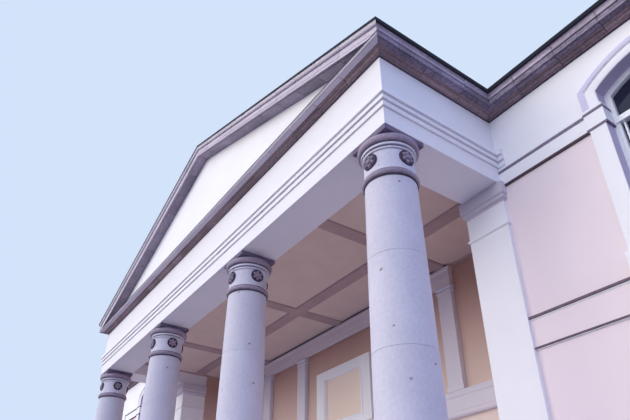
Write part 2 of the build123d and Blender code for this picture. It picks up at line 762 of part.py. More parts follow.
def entrance():
    """Door case, a pair of closed doors and the light over them."""
    half = DOOR_W / 2
    case_half = half + CASE_W
    head_z = DOOR_HEAD_Z + HEAD_H
    hood_half = case_half + HOOD_PAST
    case = block(-case_half, case_half, PORCH_Y - CASE_OUT, PORCH_Y, FLOOR_Z, head_z)
    case -= block(-half, half, PORCH_Y - CASE_OUT, PORCH_Y, FLOOR_Z, DOOR_HEAD_Z)
    case += block(-hood_half, hood_half, PORCH_Y - HOOD_OUT, PORCH_Y, head_z, head_z + HOOD_H)
    y0 = PORCH_Y + DOOR_SET_BACK
    y1 = y0 + DOOR_FRAME_DEEP
    clear = half - DOOR_FRAME_W
    light_foot = TRANSOM_Z + TRANSOM_H
    light_top = DOOR_HEAD_Z - DOOR_FRAME_W
    frame = block(-half, half, y0, y1, FLOOR_Z, DOOR_HEAD_Z)
    frame -= block(-clear, clear, y0, y1, FLOOR_Z, TRANSOM_Z)
    frame -= block(-clear, clear, y0, y1, light_foot, light_top)
    keep("door_case", [case, frame])
    leaf_y = y0 + (DOOR_FRAME_DEEP - LEAF_T) / 2
    leaf_x = clear - LEAF_GAP
    leaf = block(LEAF_GAP, leaf_x, leaf_y, leaf_y + LEAF_T, FLOOR_Z + LEAF_GAP, TRANSOM_Z - LEAF_GAP)
    keep("entrance_doors", both_sides(leaf))
    glass_y = y0 + (DOOR_FRAME_DEEP - GLASS_T) / 2
    keep("door_light", block(-clear, clear, glass_y, glass_y + GLASS_T, light_foot, light_top))


walls()
porch_walls()
plinth()
floors()
antae()
corner_pilasters()
string_course()
impost_band()
windows()
platform()
columns()
entablature()
cornice()
pediment()
main_roof()
portico_roof()
portico_ceiling()
porch_order()
over_door_panel()
entrance()
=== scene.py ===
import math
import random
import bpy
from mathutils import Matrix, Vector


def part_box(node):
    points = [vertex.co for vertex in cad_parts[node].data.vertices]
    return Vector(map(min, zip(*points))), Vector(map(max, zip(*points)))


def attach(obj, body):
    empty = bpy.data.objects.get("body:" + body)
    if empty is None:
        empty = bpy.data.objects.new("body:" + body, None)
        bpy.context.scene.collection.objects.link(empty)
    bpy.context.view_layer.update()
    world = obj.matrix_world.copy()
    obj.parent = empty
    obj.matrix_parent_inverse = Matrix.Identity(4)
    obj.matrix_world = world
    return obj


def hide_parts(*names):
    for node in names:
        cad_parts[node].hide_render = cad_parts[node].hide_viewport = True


bl_info = {
    "name": "Courthouse",
    "version": (1, 0, 0),
    "blender": (4, 5, 0),
    "location": "View3D > Sidebar > Courthouse",
    "description": "Stone, stucco, timber and slate of a two-storey courthouse with a pedimented portico",
    "category": "Object",
}

import bmesh
import bpy
from bpy.props import FloatProperty, FloatVectorProperty, PointerProperty
from mathutils import Matrix, Vector

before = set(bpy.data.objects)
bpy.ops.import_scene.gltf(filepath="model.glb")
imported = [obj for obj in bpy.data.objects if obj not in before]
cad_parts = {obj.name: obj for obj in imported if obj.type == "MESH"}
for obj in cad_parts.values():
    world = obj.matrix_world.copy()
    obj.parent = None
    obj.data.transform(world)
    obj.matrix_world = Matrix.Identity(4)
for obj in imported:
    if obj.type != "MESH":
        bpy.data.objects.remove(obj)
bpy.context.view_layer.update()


def linear(code):
    """The linear colour of an sRGB hex code, with alpha."""
    parts = [int(code[i:i + 2], 16) / 255 for i in (1, 3, 5)]
    return tuple(p / 12.92 if p <= 0.04045 else ((p + 0.055) / 1.055) ** 2.4 for p in parts) + (1.0,)


def low(node):
    """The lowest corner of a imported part."""
    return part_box(node)[0]


def high(node):
    """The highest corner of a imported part."""
    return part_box(node)[1]


def middle(node):
    """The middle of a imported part's box."""
    return (low(node) + high(node)) / 2


# Plan, in metres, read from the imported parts
WALL_X = high("side_wall_right").x
WALL_Y = low("front_wall_right").y
REAR_Y = high("rear_wall").y
PORTICO_X = low("front_wall_right").x
PORCH_X = high("portico_ceiling").x
PORCH_Y = low("porch_back_wall").y
BEAM_BACK_Y = high("antae").y
COLUMN_XS = [middle(f"column_shaft_{i}").x for i in range(1, 5)]
COLUMN_Y = middle("column_shaft_1").y
BEAM_HALF = PORTICO_X - COLUMN_XS[-1]
PIER = 2 * BEAM_HALF
BEAM_Y = COLUMN_Y - BEAM_HALF
EAVES_X = high("roof_right").x
EAVES_Y = low("roof_front").y
EAVES_REAR_Y = high("roof_back").y
RIDGE_Y = (EAVES_Y + EAVES_REAR_Y) / 2
ROOF_HALF = RIDGE_Y - EAVES_Y
GABLE_X = high("raking_cornice").x

# Levels, in metres
FLOOR_Z = high("portico_platform").z
SHAFT_Z = low("column_shaft_1").z
NECK_Z = low("column_capitals").z
BEAM_Z = high("column_capitals").z
STRING_Z = (low("string_course").z, high("string_course").z)
IMPOST_Z = (low("impost_band").z, high("impost_band").z)
CORNICE_Z = high("front_wall_right").z
ROOF_Z = high("main_cornice").z
SEAT_Z = low("tympanum").z
PLINTH_Z = high("plinth").z
CEILING_Z = high("portico_ceiling").z
GABLE_Z = high("raking_cornice").z
RIDGE_Z = high("roof_right").z
PITCH = math.atan2(GABLE_Z - ROOF_Z, GABLE_X)

# Windows
WING_WINDOW_X = 9.76
SIDE_BAYS = 3
REAR_BAYS = 5
WINDOW_HALF = 0.875
UPPER_SPRING = 8.67
UPPER_RISE = 0.27
LOWER_SILL = 1.65
LOWER_HEAD = 4.265
LOWER_TRANSOM = 3.48
SURROUND_W = 0.25
LOWER_SURROUND_W = 0.33
FRAME_DEPTHS = (0.17, 0.26)

# Columns
FOOT_R = 0.455
TOP_R = 0.388
SHAFT_SWELL = 0.009
DRUM_H = 1.335
TOP_DRUM_Z = 6.04
ROUND = 96

RAKE_H = 0.32

SMOOTH_ANGLE = math.radians(32)
CURVE_STEPS = 6
SEED = 11


# Sizes and colours that a user would change


class CourthouseSizes(bpy.types.PropertyGroup):
    """Sizes of the stones, slates and bars."""

    drum_joint: FloatProperty(
        name="Drum joint", description="Height of the mortar joint between two drums of a column",
        default=0.003, min=0.0, unit="LENGTH")
    cornice_block: FloatProperty(
        name="Cornice block", description="Length of one stone of the cornice",
        default=0.78, min=0.2, unit="LENGTH")
    block_joint: FloatProperty(
        name="Block joint", description="Gap between two stones of the cornice",
        default=0.008, min=0.0, unit="LENGTH")
    slate_width: FloatProperty(
        name="Slate width", description="Width of one roofing slate",
        default=0.30, min=0.1, unit="LENGTH")
    slate_gauge: FloatProperty(
        name="Slate gauge", description="How much of each slate shows below the next course",
        default=0.215, min=0.05, unit="LENGTH")
    glazing_bar: FloatProperty(
        name="Glazing bar", description="Width of a glazing bar",
        default=0.028, min=0.01, unit="LENGTH")


class CourthouseColours(bpy.types.PropertyGroup):
    """Paint, stone and slate colours."""

    limestone: FloatVectorProperty(
        name="Limestone", description="Dressed stone of the columns and steps", size=4,
        subtype="COLOR", default=linear("#cfccde"), min=0.0, max=1.0)
    weathered: FloatVectorProperty(
        name="Weathered stone", description="Rain-blackened stone of the cornice", size=4,
        subtype="COLOR", default=linear("#9d90a8"), min=0.0, max=1.0)
    pink_stucco: FloatVectorProperty(
        name="Pink stucco", description="Painted stucco of the walls", size=4,
        subtype="COLOR", default=linear("#eedfe6"), min=0.0, max=1.0)
    buff_stucco: FloatVectorProperty(
        name="Buff stucco", description="Painted stucco inside the porch", size=4,
        subtype="COLOR", default=linear("#f3e2dc"), min=0.0, max=1.0)
    white_stucco: FloatVectorProperty(
        name="White stucco", description="Painted stucco of the dressings", size=4,
        subtype="COLOR", default=linear("#f2f1f8"), min=0.0, max=1.0)
    slate: FloatVectorProperty(
        name="Slate", description="Roofing slate", size=4,
        subtype="COLOR", default=linear("#5d6474"), min=0.0, max=1.0)


# Building shapes


class Shape:
    """The points and faces of one piece, gathered before its mesh is made."""

    def __init__(self):
        self.points = []
        self.faces = []

    def skin(self, rings, round_ring=False, round_profile=False, capped=True):
        """Faces between successive rings of points, closed at the open ends."""
        start = len(self.points)
        size = len(rings[0])
        for ring in rings:
            self.points.extend(ring)
        last = len(rings) if round_profile else len(rings) - 1
        for i in range(last):
            a = start + i * size
            b = start + (i + 1) % len(rings) * size
            for j in range(size if round_ring else size - 1):
                k = (j + 1) % size
                self.faces.append((a + j, a + k, b + k, b + j))
        if not capped:
            return
        if not round_ring:
            self.faces.append([start + i * size for i in range(len(rings))])
            self.faces.append([start + i * size + size - 1 for i in range(len(rings))])
        if not round_profile:
            self.faces.append(range(start, start + size))
            end = start + (len(rings) - 1) * size
            self.faces.append(range(end, end + size))

    def block(self, x, y, z, place=Matrix()):
        """A block between two limits each way."""
        rings = [[place @ Vector((a, b, c)) for a, b in corners(x, y)] for c in z]
        self.skin(rings, round_ring=True)


def corners(x, y):
    """The four corners of a rectangle, anticlockwise."""
    return [(x[0], y[0]), (x[1], y[0]), (x[1], y[1]), (x[0], y[1])]


def curve(start, end, kind):
    """Points of a moulding's curve: an ovolo bulges, a cavetto hollows, a cyma hollows then bulges."""
    if kind == "cyma":
        half = ((start[0] + end[0]) / 2, (start[1] + end[1]) / 2)
        return curve(start, half, "cavetto") + curve(half, end, "ovolo")[1:]
    points = []
    for i in range(CURVE_STEPS + 1):
        turn = math.pi / 2 * i / CURVE_STEPS
        across, along = math.sin(turn), 1 - math.cos(turn)
        if kind == "cavetto":
            across, along = 1 - math.cos(turn), math.sin(turn)
        points.append((start[0] + (end[0] - start[0]) * across, start[1] + (end[1] - start[1]) * along))
    return points


def bead(foot, top, out):
    """Points of a half-round moulding between two heights, from a face at the first reach to the second."""
    reach, swell = out
    half = (top - foot) / 2
    turns = [math.pi * i / (2 * CURVE_STEPS) for i in range(2 * CURVE_STEPS + 1)]
    return [(reach + (swell - reach) * math.sin(t), foot + half * (1 - math.cos(t))) for t in turns]


def right_of(a, b):
    """The unit vector to the right of the way from one point to another."""
    way = (Vector(b) - Vector(a)).normalized()
    return Vector((way.y, -way.x))


def spine(path, closed=False):
    """Each point of a path with the mitre along which a moulding is set out from it."""
    points = [Vector(p) for p in path]
    count = len(points)
    stops = []
    for i, point in enumerate(points):
        sides = []
        if closed or i > 0:
            sides.append(right_of(points[i - 1], point))
        if closed or i < count - 1:
            sides.append(right_of(point, points[(i + 1) % count]))
        mitre = sides[0]
        if len(sides) == 2:
            mitre = (sides[0] + sides[1]) / (1 + sides[0].dot(sides[1]))
        stops.append((point, mitre))
    return stops


def flat(point, height):
    """Where a point of the plan lies at a height."""
    return Vector((point.x, point.y, height))


def moulding(shape, stops, profile, lift=flat, closed=False):
    """A profile carried along a spine."""
    rings = [[lift(point + mitre * out, height) for point, mitre in stops] for out, height in profile]
    shape.skin(rings, round_ring=closed, round_profile=True)


def stones(stops, length, joint, closed=False):
    """Short spines of the separate stones along a spine."""
    legs = list(zip(stops, stops[1:] + stops[:1] if closed else stops[1:]))
    for (start, first), (end, last) in legs:
        run = end - start
        count = max(1, round(run.length / length))
        side = right_of(start, end)
        gap = run.normalized() * joint / 2
        for i in range(count):
            a = (start, first) if i == 0 else (start + run * i / count + gap, side)
            b = (end, last) if i == count - 1 else (start + run * (i + 1) / count - gap, side)
            yield [a, b]


def lathe(shape, profile, place=Matrix(), count=ROUND):
    """A profile of radius and height turned round the upright axis of its place."""
    rings = []
    for radius, height in profile:
        turns = [2 * math.pi * i / count for i in range(count)]
        rings.append([place @ Vector((radius * math.cos(t), radius * math.sin(t), height)) for t in turns])
    shape.skin(rings, round_ring=True)


def on_wall(place):
    """A way to lift the points of a wall's elevation off its face."""
    return lambda point, out: place @ Vector((point.x, -out, point.y))


def finish_piece(name, shape, material, slot, *replaced, bevel=0.0):
    """Make the mesh of a piece, give it its finish and let it ride on the building."""
    mesh = bpy.data.meshes.new(name)
    mesh.from_pydata(shape.points, [], [list(face) for face in shape.faces])
    work = bmesh.new()
    work.from_mesh(mesh)
    bmesh.ops.recalc_face_normals(work, faces=work.faces)
    work.to_mesh(mesh)
    work.free()
    mesh.shade_smooth()
    mesh.set_sharp_from_angle(angle=SMOOTH_ANGLE)
    mesh.materials.append(material)
    piece = bpy.data.objects.new(name, mesh)
    bpy.context.scene.collection.objects.link(piece)
    if bevel:
        soften(piece, bevel)
    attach(piece, "root")
    if replaced:
        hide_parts(*replaced)
    return piece


def soften(piece, width):
    """Wear the arrises of a piece a little."""
    worn = piece.modifiers.new("worn_arrises", "BEVEL")
    worn.width = width
    worn.segments = 2
    worn.limit_method = "ANGLE"
    worn.angle_limit = SMOOTH_ANGLE
    worn.harden_normals = False


def dress(node, material, bevel=0.0):
    """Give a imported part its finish."""
    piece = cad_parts[node]
    piece.data.materials.clear()
    piece.data.materials.append(material)
    if bevel:
        soften(piece, bevel)


# Finishes

# Sockets of the Mix node that share their names: its share, inputs and result
SHARE = 0
PLACE_A, PLACE_B, PLACE_OUT = 4, 5, 1
COLOUR_A, COLOUR_B, COLOUR_OUT = 6, 7, 2


def per_metre(millimetres):
    """The texture scale at which one unit of a pattern measures a size in millimetres."""
    return 1000 / millimetres


def add_node(tree, kind, sockets=None, stops=None, **settings):
    """Add a node with its settings, and set its sockets or link them to the outputs given."""
    node = tree.nodes.new(kind)
    for name, value in settings.items():
        setattr(node, name, value)
    for name, value in (sockets or {}).items():
        if isinstance(value, bpy.types.NodeSocket):
            tree.links.new(value, node.inputs[name])
        else:
            node.inputs[name].default_value = value
    if stops:
        ramp = node.color_ramp
        while len(ramp.elements) < len(stops):
            ramp.elements.new(1.0)
        for element, (position, colour) in zip(ramp.elements, stops):
            element.position = position
            element.color = colour
    return node


def new_finish(name):
    """An empty material with its shader, and the building's own coordinates in metres."""
    material = bpy.data.materials.new(name)
    material.use_nodes = True
    tree = material.node_tree
    tree.nodes.clear()
    shader = add_node(tree, "ShaderNodeBsdfPrincipled")
    add_node(tree, "ShaderNodeOutputMaterial", {"Surface": shader.outputs["BSDF"]})
    place = add_node(tree, "ShaderNodeTexCoord").outputs["Object"]
    return material, tree, shader, place


def shade(colour, amount):
    """A linear colour made darker or lighter."""
    return tuple(min(1.0, c * amount) for c in colour[:3]) + (1.0,)


def limestone(name, colour, block_tone=0.03, mottle=0.93, patch=0.95, pits=False):
    """Dressed limestone: matt, a tone for each block, darkened in specks to mottle, in clouds to patch."""
    speck_mm, cloud_mm, grain_mm, pit_mm = 45, 520, 14, 330
    material, tree, shader, place = new_finish(name)
    speck = add_node(tree, "ShaderNodeTexNoise",
                     {"Vector": place, "Scale": per_metre(speck_mm), "Detail": 4.0})
    stone = add_node(tree, "ShaderNodeValToRGB", {"Fac": speck.outputs["Fac"]},
                     stops=((0.36, shade(colour, mottle)), (0.62, colour)))
    cloud = add_node(tree, "ShaderNodeTexNoise",
                     {"Vector": place, "Scale": per_metre(cloud_mm), "Detail": 2.0})
    worn = add_node(tree, "ShaderNodeMapRange", {"Value": cloud.outputs["Fac"], "From Min": 0.35,
                                                 "From Max": 0.65, "To Min": patch, "To Max": 1.0})
    island = add_node(tree, "ShaderNodeNewGeometry").outputs["Random Per Island"]
    tone = add_node(tree, "ShaderNodeMapRange",
                    {"Value": island, "To Min": 1 - block_tone, "To Max": 1 + block_tone})
    depth = add_node(tree, "ShaderNodeMath", {0: tone.outputs[0], 1: worn.outputs[0]}, operation="MULTIPLY")
    toned = add_node(tree, "ShaderNodeVectorMath", {0: stone.outputs["Color"], "Scale": depth.outputs[0]},
                     operation="SCALE")
    grain = add_node(tree, "ShaderNodeTexNoise",
                     {"Vector": place, "Scale": per_metre(grain_mm), "Detail": 2.0})
    colour_out = toned.outputs[0]
    height = grain.outputs["Fac"]
    if pits:
        ragged = add_node(tree, "ShaderNodeMix",
                          {SHARE: 0.05, PLACE_A: place, PLACE_B: speck.outputs["Color"]}, data_type="VECTOR")
        cell = add_node(tree, "ShaderNodeTexVoronoi",
                        {"Vector": ragged.outputs[PLACE_OUT], "Scale": per_metre(pit_mm)})
        pit = add_node(tree, "ShaderNodeMapRange",
                       {"Value": cell.outputs["Distance"], "From Min": 0.040, "From Max": 0.080})
        # The colour inside each pit is darkened to 30% of the stone's
        stained = add_node(tree, "ShaderNodeMix",
                           {SHARE: pit.outputs[0], COLOUR_A: shade(colour, 0.30), COLOUR_B: colour_out},
                           data_type="RGBA")
        colour_out = stained.outputs[COLOUR_OUT]
        pitted = add_node(tree, "ShaderNodeMath", {0: height, 1: pit.outputs[0]}, operation="MULTIPLY")
        height = pitted.outputs[0]
    bump = add_node(tree, "ShaderNodeBump", {"Height": height, "Strength": 0.3, "Distance": 0.003})
    tree.links.new(colour_out, shader.inputs["Base Color"])
    tree.links.new(bump.outputs["Normal"], shader.inputs["Normal"])
    shader.inputs["Roughness"].default_value = 0.82
    return material


def stucco(name, colour, upper=None, change=(0.0, 0.0)):
    """Trowelled, painted lime stucco: matt, barely uneven, with an upper colour blended in across the change
    of levels, a second paint on the walls and painted shade in the porch.
    """
    cloud_mm, trowel_mm = 900, 260
    material, tree, shader, place = new_finish(name)
    paint = colour[:3]
    if upper:
        height = add_node(tree, "ShaderNodeSeparateXYZ", {"Vector": place}).outputs["Z"]
        share = add_node(tree, "ShaderNodeMapRange",
                         {"Value": height, "From Min": change[0], "From Max": change[1]})
        paints = add_node(tree, "ShaderNodeMix", {SHARE: share.outputs[0], COLOUR_A: colour, COLOUR_B: upper},
                          data_type="RGBA")
        paint = paints.outputs[COLOUR_OUT]
    cloud = add_node(tree, "ShaderNodeTexNoise",
                     {"Vector": place, "Scale": per_metre(cloud_mm), "Detail": 3.0})
    wash = add_node(tree, "ShaderNodeMapRange", {"Value": cloud.outputs["Fac"], "From Min": 0.35,
                                                 "From Max": 0.65, "To Min": 0.97, "To Max": 1.0})
    washed = add_node(tree, "ShaderNodeVectorMath", {0: paint, "Scale": wash.outputs[0]}, operation="SCALE")
    trowel = add_node(tree, "ShaderNodeTexNoise",
                      {"Vector": place, "Scale": per_metre(trowel_mm), "Detail": 5.0})
    bump = add_node(tree, "ShaderNodeBump",
                    {"Height": trowel.outputs["Fac"], "Strength": 0.2, "Distance": 0.008})
    tree.links.new(washed.outputs[0], shader.inputs["Base Color"])
    tree.links.new(bump.outputs["Normal"], shader.inputs["Normal"])
    shader.inputs["Roughness"].default_value = 0.85
    return material


def plain_finish(name, colour, roughness, mottle=0.08, size=60.0):
    """A smooth coat or sheet with slight unevenness, whose patches measure a size in millimetres."""
    material, tree, shader, place = new_finish(name)
    cloud = add_node(tree, "ShaderNodeTexNoise", {"Vector": place, "Scale": per_metre(size), "Detail": 3.0})
    tones = add_node(tree, "ShaderNodeValToRGB", {"Fac": cloud.outputs["Fac"]},
                     stops=((0.35, shade(colour, 1 - mottle)), (0.65, colour)))
    bump = add_node(tree, "ShaderNodeBump",
                    {"Height": cloud.outputs["Fac"], "Strength": 0.1, "Distance": 0.002})
    tree.links.new(tones.outputs["Color"], shader.inputs["Base Color"])
    tree.links.new(bump.outputs["Normal"], shader.inputs["Normal"])
    shader.inputs["Roughness"].default_value = roughness
    return material


def slate_finish(colour):
    """Riven natural slate: dull blue-grey, each slate a tone of its own, with a fine riven face."""
    riven_mm = 45
    material, tree, shader, place = new_finish("natural_slate")
    island = add_node(tree, "ShaderNodeNewGeometry").outputs["Random Per Island"]
    tones = add_node(tree, "ShaderNodeValToRGB", {"Fac": island},
                     stops=((0.0, shade(colour, 0.62)), (0.55, colour), (1.0, shade(colour, 1.25))))
    riven = add_node(tree, "ShaderNodeTexNoise",
                     {"Vector": place, "Scale": per_metre(riven_mm), "Detail": 6.0})
    bump = add_node(tree, "ShaderNodeBump",
                    {"Height": riven.outputs["Fac"], "Strength": 0.5, "Distance": 0.004})
    tree.links.new(tones.outputs["Color"], shader.inputs["Base Color"])
    tree.links.new(bump.outputs["Normal"], shader.inputs["Normal"])
    shader.inputs["Roughness"].default_value = 0.62
    return material


def glass_finish():
    """Blown crown glass, opaque, its dark colour painting the shade of the rooms behind: a clear reflection
    that wavers very slightly.
    """
    wave_mm = 400
    material, tree, shader, place = new_finish("window_glass")
    wave = add_node(tree, "ShaderNodeTexNoise",
                    {"Vector": place, "Scale": per_metre(wave_mm), "Detail": 1.0})
    bump = add_node(tree, "ShaderNodeBump",
                    {"Height": wave.outputs["Fac"], "Strength": 0.1, "Distance": 0.004})
    tree.links.new(bump.outputs["Normal"], shader.inputs["Normal"])
    # The dark base colour is painted shade of the unlit rooms behind the opaque pane
    shader.inputs["Base Color"].default_value = linear("#1e2036")
    shader.inputs["Roughness"].default_value = 0.04
    shader.inputs["IOR"].default_value = 1.52
    return material


def boards_finish():
    """Sawn and waxed pine boards: two warm browns parted by dark joints, with a dull sheen."""
    board_length, board_width, gap = 2.4, 0.15, 0.004
    material, tree, shader, place = new_finish("waxed_pine_boards")
    plan = add_node(tree, "ShaderNodeMapping", {"Vector": place, "Scale": (1.0, 1.0, 0.0)})
    boards = add_node(tree, "ShaderNodeTexBrick",
                      {"Vector": plan.outputs[0], "Scale": 1.0, "Color1": linear("#9a7448"),
                       "Color2": linear("#84603a"), "Mortar": linear("#3a2a1c"), "Mortar Size": gap,
                       "Brick Width": board_length, "Row Height": board_width}, offset=0.37)
    tree.links.new(boards.outputs["Color"], shader.inputs["Base Color"])
    shader.inputs["Roughness"].default_value = 0.55
    return material


def dull_coat(name, colour, mottle):
    """A dry, quite matt coat, such as old lead, a dark line or painted shade: dark, uneven and without a
    shine.
    """
    return plain_finish(name, linear(colour), roughness=0.9, mottle=mottle)


FINISHES = {}


def mix_stones(colours):
    """Make the stone and slate finishes."""
    FINISHES.update(
        # Rubbed limestone of columns, steps and plinth, a cool speckled grey with dark pits
        limestone=limestone("dressed_limestone", colours.limestone, pits=True),
        # Crusted limestone under the eaves, where each stone has its own dark tone
        weathered=limestone("weathered_limestone", colours.weathered, 0.30, 0.60, 0.64),
        # Limestone of the gable seat and raking crown, the palest of the cornice: rain-washed, and lightened
        # as painted sunlight
        washed=limestone("rain_washed_limestone", linear("#dcd4e2"), 0.06),
        # Limestone of the raking fascia, nearly even, lightened as painted sunlight
        rake=limestone("sun_bleached_limestone", linear("#cfc5d6"), 0.08, 0.85, 0.88),
        # Limestone of the lowest moulding, brown-stained and darkened further as painted shade under the
        # soffit
        bed=limestone("brown_weathered_limestone", linear("#a89098"), 0.22, 0.70, 0.72),
        # Limestone of soffits and upper mouldings, a dull middle grey, partly sooty and partly painted shade
        sheltered=limestone("sheltered_limestone", linear("#baadc0"), 0.14, 0.78, 0.80),
        # Limestone of the capitals' astragals, rims and bosses, greyed partly by sooting and partly as
        # painted shade
        dulled=limestone("soot_dulled_limestone", linear("#a294aa"), 0.05, 0.80, 0.85),
        # Limestone darkened as painted shade under the beams, the capitals' darkest edge
        abacus=limestone("soot_darkened_limestone", linear("#786c88"), 0.05, 0.75, 0.80),
        slate=slate_finish(colours.slate),
    )


def mix_stuccoes(colours):
    """Make the painted stucco finishes."""
    frieze_change = (IMPOST_Z[1] - 0.001, IMPOST_Z[1])
    porch_change = (4.2, 8.0)
    # Painted shade: the porch's buff turns browner between these levels, towards the ceiling
    smoked_buff = linear("#c29a8c")
    FINISHES.update(
        # Stucco of the walls, pale pink with a white frieze
        wall=stucco("painted_lime_stucco_walls", colours.pink_stucco, colours.white_stucco, frieze_change),
        # Stucco inside the porch, a buff blended upwards into a browner buff: painted shade towards the
        # ceiling
        porch=stucco("painted_lime_stucco_porch", colours.buff_stucco, smoked_buff, porch_change),
        # Stucco of the dressings, a cold white
        white=stucco("painted_lime_stucco_dressings", colours.white_stucco),
        # Stucco of the beams, a shade greyer than the dressings
        beam=stucco("painted_lime_stucco_beams", linear("#eae8f0")),
        # Stucco in the depth of the windows, a blue-grey that paints their shade
        reveal=stucco("painted_lime_stucco_reveals", linear("#c6bdd8")),
        # Stucco of the pier caps, greyed as painted shade under the beams and cornice
        cap=stucco("grimy_lime_stucco_caps", linear("#d0c8d6")),
        # Stucco round the arches, a lilac grey that paints the shade on their outer edge
        rim=stucco("rain_greyed_lime_stucco_rims", linear("#d0cde8")),
        # Stucco of the porch's pilasters, a white in the shade
        shaded=stucco("painted_lime_stucco_pilasters", linear("#dcd6e2")),
        # Stucco of the band over them, a warmer white
        porch_band=stucco("painted_lime_stucco_porch_band", linear("#ece0e2")),
        # Stucco of the panel, cream inside its white moulding
        field=stucco("painted_lime_stucco_panel", linear("#f3e0d2")),
    )


def mix_coats():
    """Make the finishes of plaster, painted shade, dark lines, lead, gloss paint, glass and boards."""
    FINISHES.update(
        # Smooth painted plaster of the ceilings, a flat dusty cream
        plaster=plain_finish("painted_ceiling_plaster", linear("#ddc7be"), 0.9, mottle=0.06, size=500.0),
        # The same plaster on the ribs and panel mouldings, browner as painted shade
        rib=plain_finish("dusty_ceiling_plaster", linear("#b59b9c"), 0.9, mottle=0.10, size=500.0),
        # Painted shade in grooves, hollows and gaps, nearly black
        grime=dull_coat("soot_in_stone_joints", "#46384c", mottle=0.3),
        # A brown-black line on stucco at the foot of a band
        stain=dull_coat("soot_stained_stucco", "#5a4650", mottle=0.25),
        # Brown-grey fillets on stucco, lighter than the brown-black line
        faded=dull_coat("rain_stained_stucco", "#7b6874", mottle=0.25),
        # Painted shade on stucco fillets under a ledge, a lilac grey
        dusty=dull_coat("dust_stained_stucco", "#857a92", mottle=0.25),
        # Milled sheet lead, oxidised to a matt blue-black
        lead=dull_coat("milled_lead", "#181628", mottle=0.2),
        # Gloss oil paint on pine, white with a soft shine
        paint=plain_finish("white_gloss_paint_on_pine", linear("#f4f5fb"), 0.35),
        glass=glass_finish(),
        boards=boards_finish(),
    )


# Columns


def shaft_radius(z):
    """The radius of the tapering, slightly swelling shaft at a height."""
    t = (z - SHAFT_Z) / (NECK_Z - SHAFT_Z)
    return FOOT_R + (TOP_R - FOOT_R) * t + SHAFT_SWELL * 4 * t * (1 - t)


def drum_levels():
    """Heights of the joints between drums, from the foot to the neck."""
    levels = [NECK_Z]
    z = TOP_DRUM_Z
    while z > SHAFT_Z + DRUM_H / 3:
        levels.append(z)
        z -= DRUM_H
    levels.append(SHAFT_Z)
    return levels[::-1]


def build_shaft(number, joint):
    """One shaft of separate drums round a mortar core."""
    shape = Shape()
    place = Matrix.Translation((COLUMN_XS[number - 1], COLUMN_Y, 0))
    levels = drum_levels()
    arris = 0.002
    core_back = 0.0025
    rings_between = 4
    for z0, z1 in zip(levels, levels[1:]):
        foot = z0 + (joint / 2 if z0 > SHAFT_Z else 0)
        top = z1 - (joint / 2 if z1 < NECK_Z else 0)
        profile = [(shaft_radius(foot) - arris, foot)]
        for i in range(rings_between + 1):
            z = foot + arris + (top - foot - 2 * arris) * i / rings_between
            profile.append((shaft_radius(z), z))
        profile.append((shaft_radius(top) - arris, top))
        lathe(shape, profile, place)
    core = [(shaft_radius(z) - core_back, z) for z in (SHAFT_Z + arris, NECK_Z - arris)]
    lathe(shape, core, place)
    finish_piece(f"shaft_{number}", shape, FINISHES["limestone"], "limestone", f"column_shaft_{number}")


def build_base(shape, x):
    """An attic base: square plinth, torus, fillet and hollow up to the shaft."""
    plinth_half = 0.58
    plinth_h = 0.19
    torus = (0.07, 0.115)
    torus_h = 0.13
    fillet_out = 0.03
    fillet_h = 0.035
    place = Matrix.Translation((x, COLUMN_Y, FLOOR_Z))
    chamfer = 0.008
    square = [(plinth_half - chamfer, 0), (plinth_half, chamfer), (plinth_half, plinth_h - chamfer),
              (plinth_half - chamfer, plinth_h)]
    rings = [[place @ Vector((a, b, z)) for a, b in corners((-r, r), (-r, r))] for r, z in square]
    shape.skin(rings, round_ring=True)
    top = plinth_h + torus_h
    profile = [(FOOT_R, plinth_h)]
    profile += bead(plinth_h, top, (FOOT_R + torus[0], FOOT_R + torus[1]))
    profile += [(FOOT_R + fillet_out, top), (FOOT_R + fillet_out, top + fillet_h)]
    profile += curve((FOOT_R + fillet_out, top + fillet_h), (FOOT_R, SHAFT_Z - FLOOR_Z), "ovolo")[1:]
    lathe(shape, profile, place)


def build_boss(shape, place):
    """A round boss of open petals with a button at its middle."""
    radius, deep = 0.108, 0.075
    petals, points_per_petal = 6, 8
    cleft, valley = 0.40, 0.72
    leaf = 0.5
    rows = ((1.0, 0.0), (1.0, 0.35), (0.86, 0.75), (0.62, 0.85), (0.40, 0.45), (0.34, 0.85), (0.20, 1.0))
    count = petals * points_per_petal
    rings = []
    for part, rise in rows:
        ring = []
        for i in range(count):
            turn = 2 * math.pi * i / count
            petal = (1 + math.cos(petals * turn)) / 2
            spread = 1 - cleft * (1 - petal) ** 2 if part > leaf else 1.0
            lift = rise * (valley + (1 - valley) * petal) if leaf < part < 1.0 else rise
            r = radius * part * spread
            ring.append(place @ Vector((r * math.cos(turn), r * math.sin(turn), deep * lift)))
        rings.append(ring)
    shape.skin(rings, round_ring=True)


NECK_R = TOP_R - 0.005
SLAB_Z = BEAM_Z - NECK_Z - 0.09
ASTRAGAL_TOP = 0.096
ANNULETS = ((0.016, 0.478, 0.512), (0.036, 0.532, 0.574))
RIM_Z = 0.592
# Near-black rings of painted shade in the capital's grooves: reach past the shaft's top, foot and top
SOOT_RINGS = ((0.014, -0.020, 0.006), (0.014, ASTRAGAL_TOP, 0.108), (0.006, 0.510, 0.534),
              (0.022, 0.573, 0.594), (0.034, 0.715, 0.731))
BOSS_Z = 0.34
BOSSES = 4


def astragal_profile():
    """The half-round ring at the foot of the neck."""
    foot = 0.004
    out = TOP_R + 0.008
    ring = bead(foot, ASTRAGAL_TOP, (TOP_R + 0.010, TOP_R + 0.042))
    return [(TOP_R - 0.01, 0.0), (out, 0.0), (out, foot)] + ring + [(TOP_R - 0.01, 0.098)]


